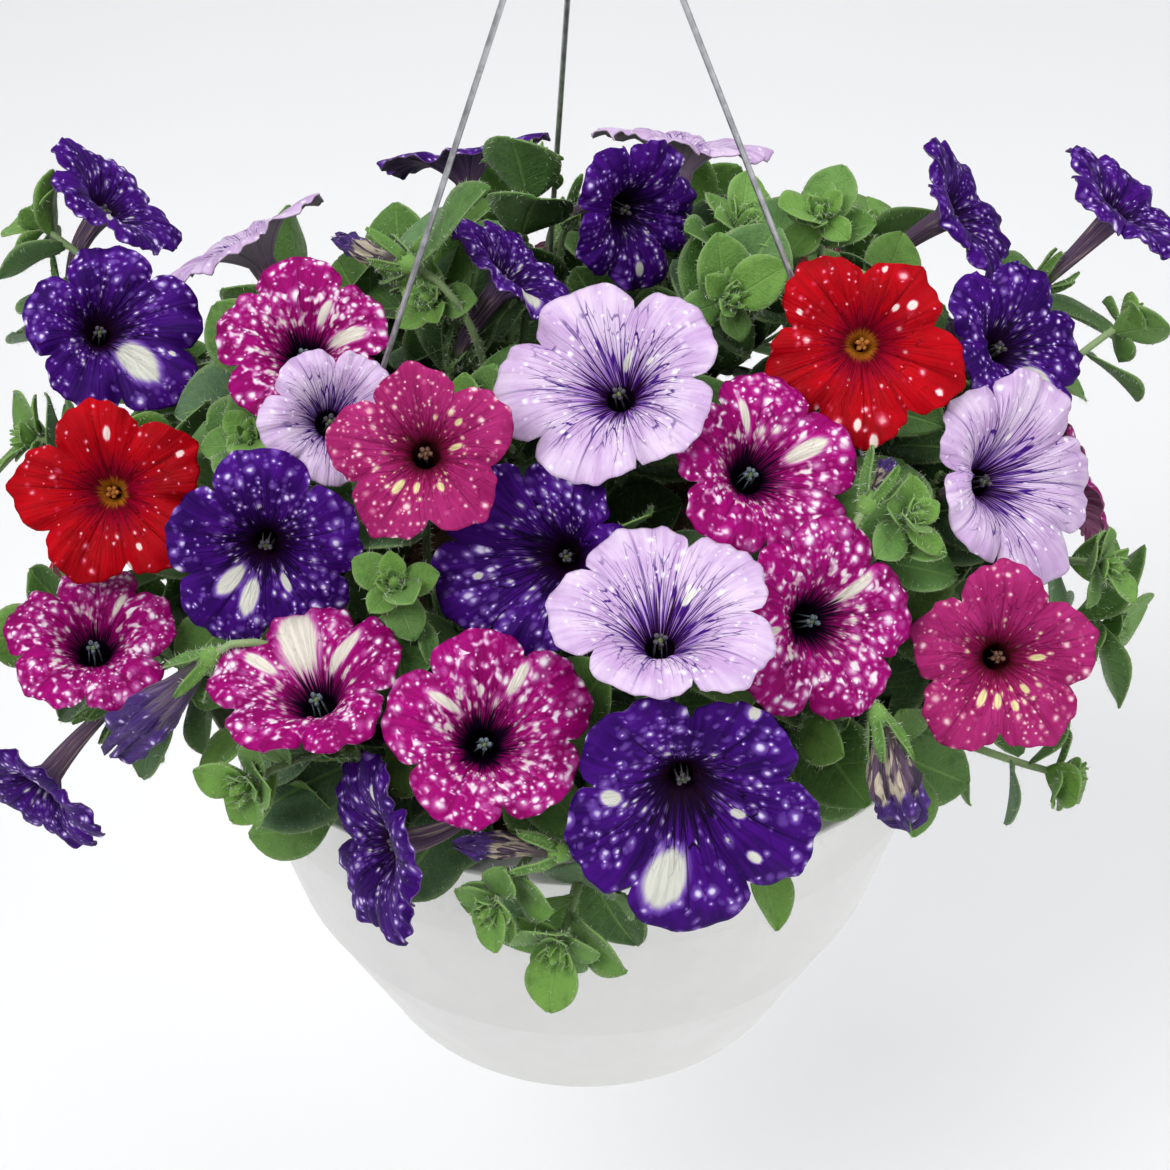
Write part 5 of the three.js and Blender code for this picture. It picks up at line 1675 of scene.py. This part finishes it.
def compost_height(x, y):
    """Low mounds and hollows of the compost's surface."""
    return (1.6 * np.sin(x / 11 + 1) * np.cos(y / 13) + 0.9 * np.sin(x / 4.7) * np.sin(y / 5.3 + 2)
            + 0.5 * np.sin(x / 2.1 + y / 2.9))


def make_compost(looks, settings):
    low, top = POT_FOOT_Z + WALL + 1 + GAP, RIM_Z - SOIL_DROP
    wall = RIM_RADIUS - POT_INSET - WALL - GAP - 0.3
    first, second = (POT_FOOT_Z + POT_HEIGHT * share for share in POT_STEPS)
    profile = [(0.5, low), (POT_BASE_RADIUS - 1.8, low), (wall - 19.4, first),
               (wall - 4.4, second), (wall - 2.2, top - 2.5)]
    profile += [(r, top) for r in np.linspace(wall - 3.4, 0.6, 44)]

    def mound(points):
        crown = points[:, 2] > top - 0.5
        points[crown, 2] += compost_height(points[crown, 0], points[crown, 1])

    compost = turned("compost", profile, 150, looks["compost"], mound)
    return grown(compost, crumb_tree(), {
        "Density": settings.grain_density, "Size": settings.grain_size, "Seed": 4,
        "Material": looks["compost"],
    })


def wire_path(turn):
    """A wire from its turned-up foot under the flange to its turned-down head."""
    out = vec(math.sin(turn), -math.cos(turn), 0)

    def at(r, z):
        return out * r + UP * z

    hole, edge = WIRE_HOLE_AT, RIM_RADIUS + WIRE_RADIUS + GAP
    flange = RIM_Z - 2.4
    under = flange - WIRE_RADIUS - GAP
    plate, lip = PLATE_RADIUS - 3.6, PLATE_RADIUS + WIRE_RADIUS + GAP
    over = PLATE_Z + PLATE_THICK + WIRE_RADIUS + GAP
    foot = [
        at(edge + 0.3, RIM_Z + 1.5), at(edge + 0.2, flange), at(edge - 1.2, under + 0.1),
        at((hole + edge) / 2, under), at(hole + 0.9, under + 0.1), at(hole, flange + 1),
        at(hole, RIM_Z + 3), at(hole - 2, RIM_Z + 9),
    ]
    head = [
        at(plate + 1.6, PLATE_Z - 9), at(plate, PLATE_Z - 2.5),
        at(plate, PLATE_Z + PLATE_THICK / 2), at(plate + 0.7, over),
        at((plate + lip) / 2 + 0.3, over + 0.2), at(lip - 0.2, over - 0.4),
        at(lip + 0.3, PLATE_Z + 0.5), at(lip + 0.3, PLATE_Z - 1.5),
    ]
    return np.concatenate([spaced(catmull, foot, 44), spaced(catmull, head, 40)])


def make_wire(index, looks):
    line = wire_path(WIRE_TURNS[index])
    paths = [(line, np.full(len(line), WIRE_RADIUS))]
    return make_tubes(f"wire_{index + 1}", paths, 12, looks["steel"])


def make_hook(looks):
    """The hook over its plate, which the three wires go through."""
    radius, centre = CROOK_RADIUS, HOOK_RADIUS - CROOK_RADIUS
    points = []
    for i in range(13):
        angle = math.radians(-25 + 245 * i / 12)
        points.append(vec(radius * math.cos(angle), 0, centre + radius * math.sin(angle)))
    points += [vec(x, 0, centre + z) for x, z in ((-5.2, -12.6), (-1.3, -17), (0, -23), (0, -40))]
    points.append(vec(0, 0, PLATE_Z + 1))
    line = spaced(catmull, points, 110)
    hook = make_tubes("hook", [(line, np.full(len(line), HOOK_RADIUS))], 16, looks["steel"])
    edge, top = 0.5, PLATE_Z + PLATE_THICK
    disc = [
        (0.4, PLATE_Z), (PLATE_RADIUS - edge, PLATE_Z),
        *arc((PLATE_RADIUS - edge, PLATE_Z + edge), edge, -70, 0, 4),
        *arc((PLATE_RADIUS - edge, top - edge), edge, 0, 90, 5), (0.4, top),
    ]
    plate = turned("hook_plate", disc, 64, looks["steel"])
    plate = drilled(plate, around(PLATE_RADIUS - 3.6, WIRE_TURNS, 1.5), PLATE_Z - 5, PLATE_Z + 8)
    knob = [(0.4, PLATE_Z - 2.5), *arc((2.4, PLATE_Z - 1.7), 0.8, -90, 0, 5),
            (3.2, PLATE_Z - 0.1), (0.4, PLATE_Z - 0.1)]
    return joined([hook, plate, turned("hook_knob", knob, 40, looks["steel"])])


# ---------------------------------------------------------------- the stage
FLOOR_REACH = 16000.0
SWEEP_AT = 2600.0
SWEEP_RADIUS = 900.0
BACKDROP_HEIGHT = 4200.0
LAMPS = (
    ("key", (-900, -1100, 1300), 1.1), ("fill", (1300, -900, 500), 1.4),
    ("top", (100, 500, 1500), 1.6),
)


def floor_material(settings):
    n = Finish("studio floor", 0.9, Specular_IOR_Level=0.1)
    uneven = n.step(n.noise(n.object_place(), 3.0, 2.0), 0.3, 0.7)
    return n.made(n.mix(uneven, settings.floor_colour, darker(settings.floor_colour, 0.985)))


def make_floor(settings):
    """A pale floor that sweeps up to a backdrop well behind the plant."""
    low = POT_FOOT_Z - settings.floor_drop / MM
    sweep = np.linspace(0.1, math.pi / 2, 12)
    line = [(-FLOOR_REACH, low), (SWEEP_AT, low)]
    line += [(SWEEP_AT + SWEEP_RADIUS * math.sin(t), low + SWEEP_RADIUS * (1 - math.cos(t)))
             for t in sweep]
    line.append((SWEEP_AT + SWEEP_RADIUS, low + BACKDROP_HEIGHT))
    grid = [[vec(x, y, z) for x in (-FLOOR_REACH, FLOOR_REACH)] for y, z in line]
    soup = Soup()
    soup.add(np.array(grid), grid_faces(len(line), 2, False, flip=True))
    return soup.object("studio_floor", [floor_material(settings)])


def make_lights(settings):
    """Three soft lamps that look at the middle of the mound, in an evenly lit room."""
    for name, place, size in LAMPS:
        light = bpy.data.lights.new(f"{name} light", "AREA")
        light.energy = getattr(settings, f"{name}_power")
        light.shape, light.size = "DISK", size
        lamp, place = placed(light.name, light), vec(*place)
        lamp.location = place * MM
        aim = Vector((DOME_CENTRE - place) * MM)
        lamp.rotation_euler = aim.to_track_quat("-Z", "Y").to_euler()
    world = bpy.data.worlds.new("studio")
    bpy.context.scene.world = world
    world.use_nodes = True
    background = world.node_tree.nodes["Background"].inputs
    background["Color"].default_value = (0.93, 0.95, 1.0, 1.0)
    background["Strength"].default_value = settings.room_light


def make_camera():
    """The camera at the photograph's angle and distance."""
    bpy.context.scene.view_settings.view_transform = "Standard"
    camera = bpy.data.cameras.new("camera")
    camera.sensor_fit, camera.sensor_width = "HORIZONTAL", 36.0
    half_view = MIDDLE / UNITS_PER_MM / EYE_REACH
    camera.lens = camera.sensor_width / 2 / half_view
    camera.clip_end = 50.0
    eye = placed("camera", camera)
    eye.location = (AIM - EYE_REACH * EYE_FORWARD) * MM
    eye.rotation_euler = (math.pi / 2 - EYE_RISE, 0, 0)
    bpy.context.scene.camera = eye


# ---------------------------------------------------------------- settings
class PlantSettings(PropertyGroup):
    """Sizes, numbers and colours of the petunias."""

    ruffle: FloatProperty(
        name="Ruffle", description="How far the edges of the lobes wave",
        default=0.0009, min=0.0, max=0.003, precision=4, unit="LENGTH")
    petal_thickness: FloatProperty(
        name="Petal thickness", description="Thickness of the lobes and the tube",
        default=0.0005, min=0.0002, max=0.001, precision=4, unit="LENGTH")
    stalk_leaves: IntProperty(
        name="Leaves on a flower stalk", description="Leaves that each flower stalk bears",
        default=2, min=0, max=5)
    tip_leaves: IntProperty(
        name="Leaves round a bud", description="Small young leaves round each shoot's tip",
        default=7, min=0, max=12)
    under_shoots: IntProperty(
        name="Shoots under the blooms", description="Leafy shoots just under the blooms",
        default=64, min=0, max=200)
    under_depth: FloatProperty(
        name="Depth of those shoots", description="How far their tips lie inside the mound",
        default=0.026, min=0.0, max=0.06, unit="LENGTH")
    deep_shoots: IntProperty(
        name="Deep shoots", description="Leafy shoots further down, over the compost",
        default=34, min=0, max=200)
    deep_depth: FloatProperty(
        name="Depth of the deep shoots", description="How far their tips lie inside the mound",
        default=0.055, min=0.0, max=0.09, unit="LENGTH")
    under_leaf: FloatProperty(
        name="Largest under leaf", description="Length of the largest leaf of these shoots",
        default=0.036, min=0.01, max=0.05, unit="LENGTH")
    hair_density: FloatProperty(
        name="Hairs", description="Hairs on a square metre of stem or leaf edge",
        default=460000.0, min=0.0, max=1e6)
    hair_length: FloatProperty(
        name="Hair length", description="Length of the longest hairs",
        default=0.0015, min=0.0, max=0.003, precision=4, unit="LENGTH")
    hair_width: FloatProperty(
        name="Hair width", description="Half the width of a hair at its foot",
        default=0.00007, min=0.00001, max=0.0002, precision=5, unit="LENGTH")
    leaf_deep: FloatVectorProperty(
        name="Leaf, deep", description="Colour of the darkest full-grown leaves",
        default=(0.034, 0.100, 0.015), min=0.0, max=1.0, subtype="COLOR")
    leaf_light: FloatVectorProperty(
        name="Leaf, light", description="Colour of the palest full-grown leaves",
        default=(0.098, 0.228, 0.045), min=0.0, max=1.0, subtype="COLOR")
    leaf_young: FloatVectorProperty(
        name="Leaf, young", description="Colour of the leaves at a shoot's tip",
        default=(0.155, 0.315, 0.055), min=0.0, max=1.0, subtype="COLOR")
    stem_light: FloatVectorProperty(
        name="Stem, light", description="Colour of the palest stems",
        default=(0.24, 0.34, 0.14), min=0.0, max=1.0, subtype="COLOR")
    stem_deep: FloatVectorProperty(
        name="Stem, deep", description="Colour of the darkest stems",
        default=(0.11, 0.19, 0.06), min=0.0, max=1.0, subtype="COLOR")

    def shells(self):
        """Each shell of hidden shoots: number, how proud of the mound, largest leaf, in mm."""
        return (
            (self.under_shoots, -self.under_depth / MM, self.under_leaf / MM),
            (self.deep_shoots, -self.deep_depth / MM, self.under_leaf / MM),
        )


class PotSettings(PropertyGroup):
    """The pot, its compost and its hanger."""

    pot_colour: FloatVectorProperty(
        name="Pot", description="Colour of the pot's plastic",
        default=(0.80, 0.80, 0.77), min=0.0, max=1.0, subtype="COLOR")
    grain_density: FloatProperty(
        name="Grains", description="Compost grains on a square metre",
        default=42000.0, min=0.0, max=2e5)
    grain_size: FloatProperty(
        name="Grain size", description="Radius of a compost grain",
        default=0.0017, min=0.0002, max=0.005, precision=4, unit="LENGTH")


class StageSettings(PropertyGroup):
    """The floor and the lights."""

    floor_drop: FloatProperty(
        name="Floor under the pot", description="How far the floor lies under the pot",
        default=0.22, min=0.0, max=2.0, unit="LENGTH")
    floor_colour: FloatVectorProperty(
        name="Floor", description="Colour of the floor", default=(0.92, 0.92, 0.92),
        min=0.0, max=1.0, subtype="COLOR")
    key_power: FloatProperty(
        name="Key light", description="Power of the lamp at the left", default=27.0, min=0.0)
    fill_power: FloatProperty(
        name="Fill light", description="Power of the lamp at the right", default=11.0, min=0.0)
    top_power: FloatProperty(
        name="Top light", description="Power of the lamp overhead", default=20.0, min=0.0)
    room_light: FloatProperty(
        name="Room light", description="Strength of the even light all round",
        default=0.38, min=0.0, max=5.0)


# ---------------------------------------------------------------- operators
WORKSHOP = {}


def workshop(scene):
    """The plan and the materials, made once and shared by the operators."""
    if not WORKSHOP:
        WORKSHOP["plan"] = Plan(scene.petunia_plant)
        WORKSHOP["looks"] = make_looks(scene.petunia_plant, scene.petunia_pot)
    return WORKSHOP["plan"], WORKSHOP["looks"]


def hand_over(piece, slot, *nodes):
    """The piece rides on the body and stands in for its frame solids."""
    if not piece.data.polygons:
        raise RuntimeError(f"{piece.name} has no faces")
    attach(piece, BODY)
    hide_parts(*nodes)


class PETUNIA_OT_blooms(Operator):
    """Make the open blooms in place of their frame solids"""

    bl_idname = "petunia.make_blooms"
    bl_label = "Open blooms"

    def execute(self, context):
        plan, looks = workshop(context.scene)
        for index, bloom in enumerate(plan.blooms):
            piece = make_bloom(bloom, 1.37 * index + 0.4, looks, context.scene.petunia_plant)
            hand_over(piece, f"petal_{bloom['colour']}", f"bloom_{bloom['name']}")
        return {"FINISHED"}


class PETUNIA_OT_furled(Operator):
    """Make the furled and wilted blooms in place of their frame solids"""

    bl_idname = "petunia.make_furled"
    bl_label = "Furled blooms"

    def execute(self, context):
        plan, looks = workshop(context.scene)
        for index, bud in enumerate(plan.buds):
            piece = make_furled(bud, index, looks)
            hand_over(piece, f"petal_{bud['colour']}", f"furled_bloom_{index + 1}")
        return {"FINISHED"}


class PETUNIA_OT_foliage(Operator):
    """Make the stems, leaves, calyces and hairs in place of their frame solids"""

    bl_idname = "petunia.make_foliage"
    bl_label = "Leafy stems"

    def execute(self, context):
        plan, looks = workshop(context.scene)
        for cell, name in enumerate(CELL_NAMES):
            piece = make_foliage(cell, plan, looks, context.scene.petunia_plant)
            hand_over(piece, "leaf_green", f"leafy_stems_{name}")
        return {"FINISHED"}


class PETUNIA_OT_pot(Operator):
    """Make the pot in place of its frame solid"""

    bl_idname = "petunia.make_pot"
    bl_label = "Pot"

    def execute(self, context):
        _, looks = workshop(context.scene)
        hand_over(make_pot(looks), "pot_white", "basket")
        return {"FINISHED"}


class PETUNIA_OT_compost(Operator):
    """Make the compost with its grains in place of its frame solid"""

    bl_idname = "petunia.make_compost"
    bl_label = "Compost"

    def execute(self, context):
        _, looks = workshop(context.scene)
        hand_over(make_compost(looks, context.scene.petunia_pot), "compost", "soil")
        return {"FINISHED"}


class PETUNIA_OT_hanger(Operator):
    """Make the hook and the three wires in place of their frame solids"""

    bl_idname = "petunia.make_hanger"
    bl_label = "Hook and wires"

    def execute(self, context):
        _, looks = workshop(context.scene)
        hand_over(make_hook(looks), "hanger_steel", "hanger_hook")
        for index in range(len(WIRE_TURNS)):
            hand_over(make_wire(index, looks), "hanger_steel", f"hanger_wire_{index + 1}")
        return {"FINISHED"}


class PETUNIA_OT_stage(Operator):
    """Make the floor, the lights and the camera"""

    bl_idname = "petunia.make_stage"
    bl_label = "Stage"

    def execute(self, context):
        make_floor(context.scene.petunia_stage)
        make_lights(context.scene.petunia_stage)
        make_camera()
        return {"FINISHED"}


STEPS = (
    PETUNIA_OT_stage, PETUNIA_OT_pot, PETUNIA_OT_compost, PETUNIA_OT_hanger,
    PETUNIA_OT_foliage, PETUNIA_OT_blooms, PETUNIA_OT_furled,
)


class PETUNIA_PT_panel(Panel):
    """The sizes and colours, and a button for each group of pieces"""

    bl_idname = "PETUNIA_PT_panel"
    bl_label = "Petunia hanging basket"
    bl_space_type = "VIEW_3D"
    bl_region_type = "UI"
    bl_category = "Petunias"

    def draw(self, context):
        for settings in (context.scene.petunia_plant, context.scene.petunia_pot,
                         context.scene.petunia_stage):
            box = self.layout.box()
            for name in settings.__annotations__:
                box.prop(settings, name)
        for step in STEPS:
            self.layout.operator(step.bl_idname)


SETTINGS = (
    ("petunia_plant", PlantSettings), ("petunia_pot", PotSettings),
    ("petunia_stage", StageSettings),
)


def register():
    for name, group in SETTINGS:
        bpy.utils.register_class(group)
        setattr(bpy.types.Scene, name, PointerProperty(type=group))
    for step in (*STEPS, PETUNIA_PT_panel):
        bpy.utils.register_class(step)


def unregister():
    for step in (PETUNIA_PT_panel, *reversed(STEPS)):
        bpy.utils.unregister_class(step)
    for name, group in reversed(SETTINGS):
        delattr(bpy.types.Scene, name)
        bpy.utils.unregister_class(group)


def main():
    register()
    bpy.ops.petunia.make_stage()
    bpy.ops.petunia.make_pot()
    bpy.ops.petunia.make_compost()
    bpy.ops.petunia.make_hanger()
    bpy.ops.petunia.make_foliage()
    bpy.ops.petunia.make_blooms()
    bpy.ops.petunia.make_furled()


if __name__ == "__main__":
    main()
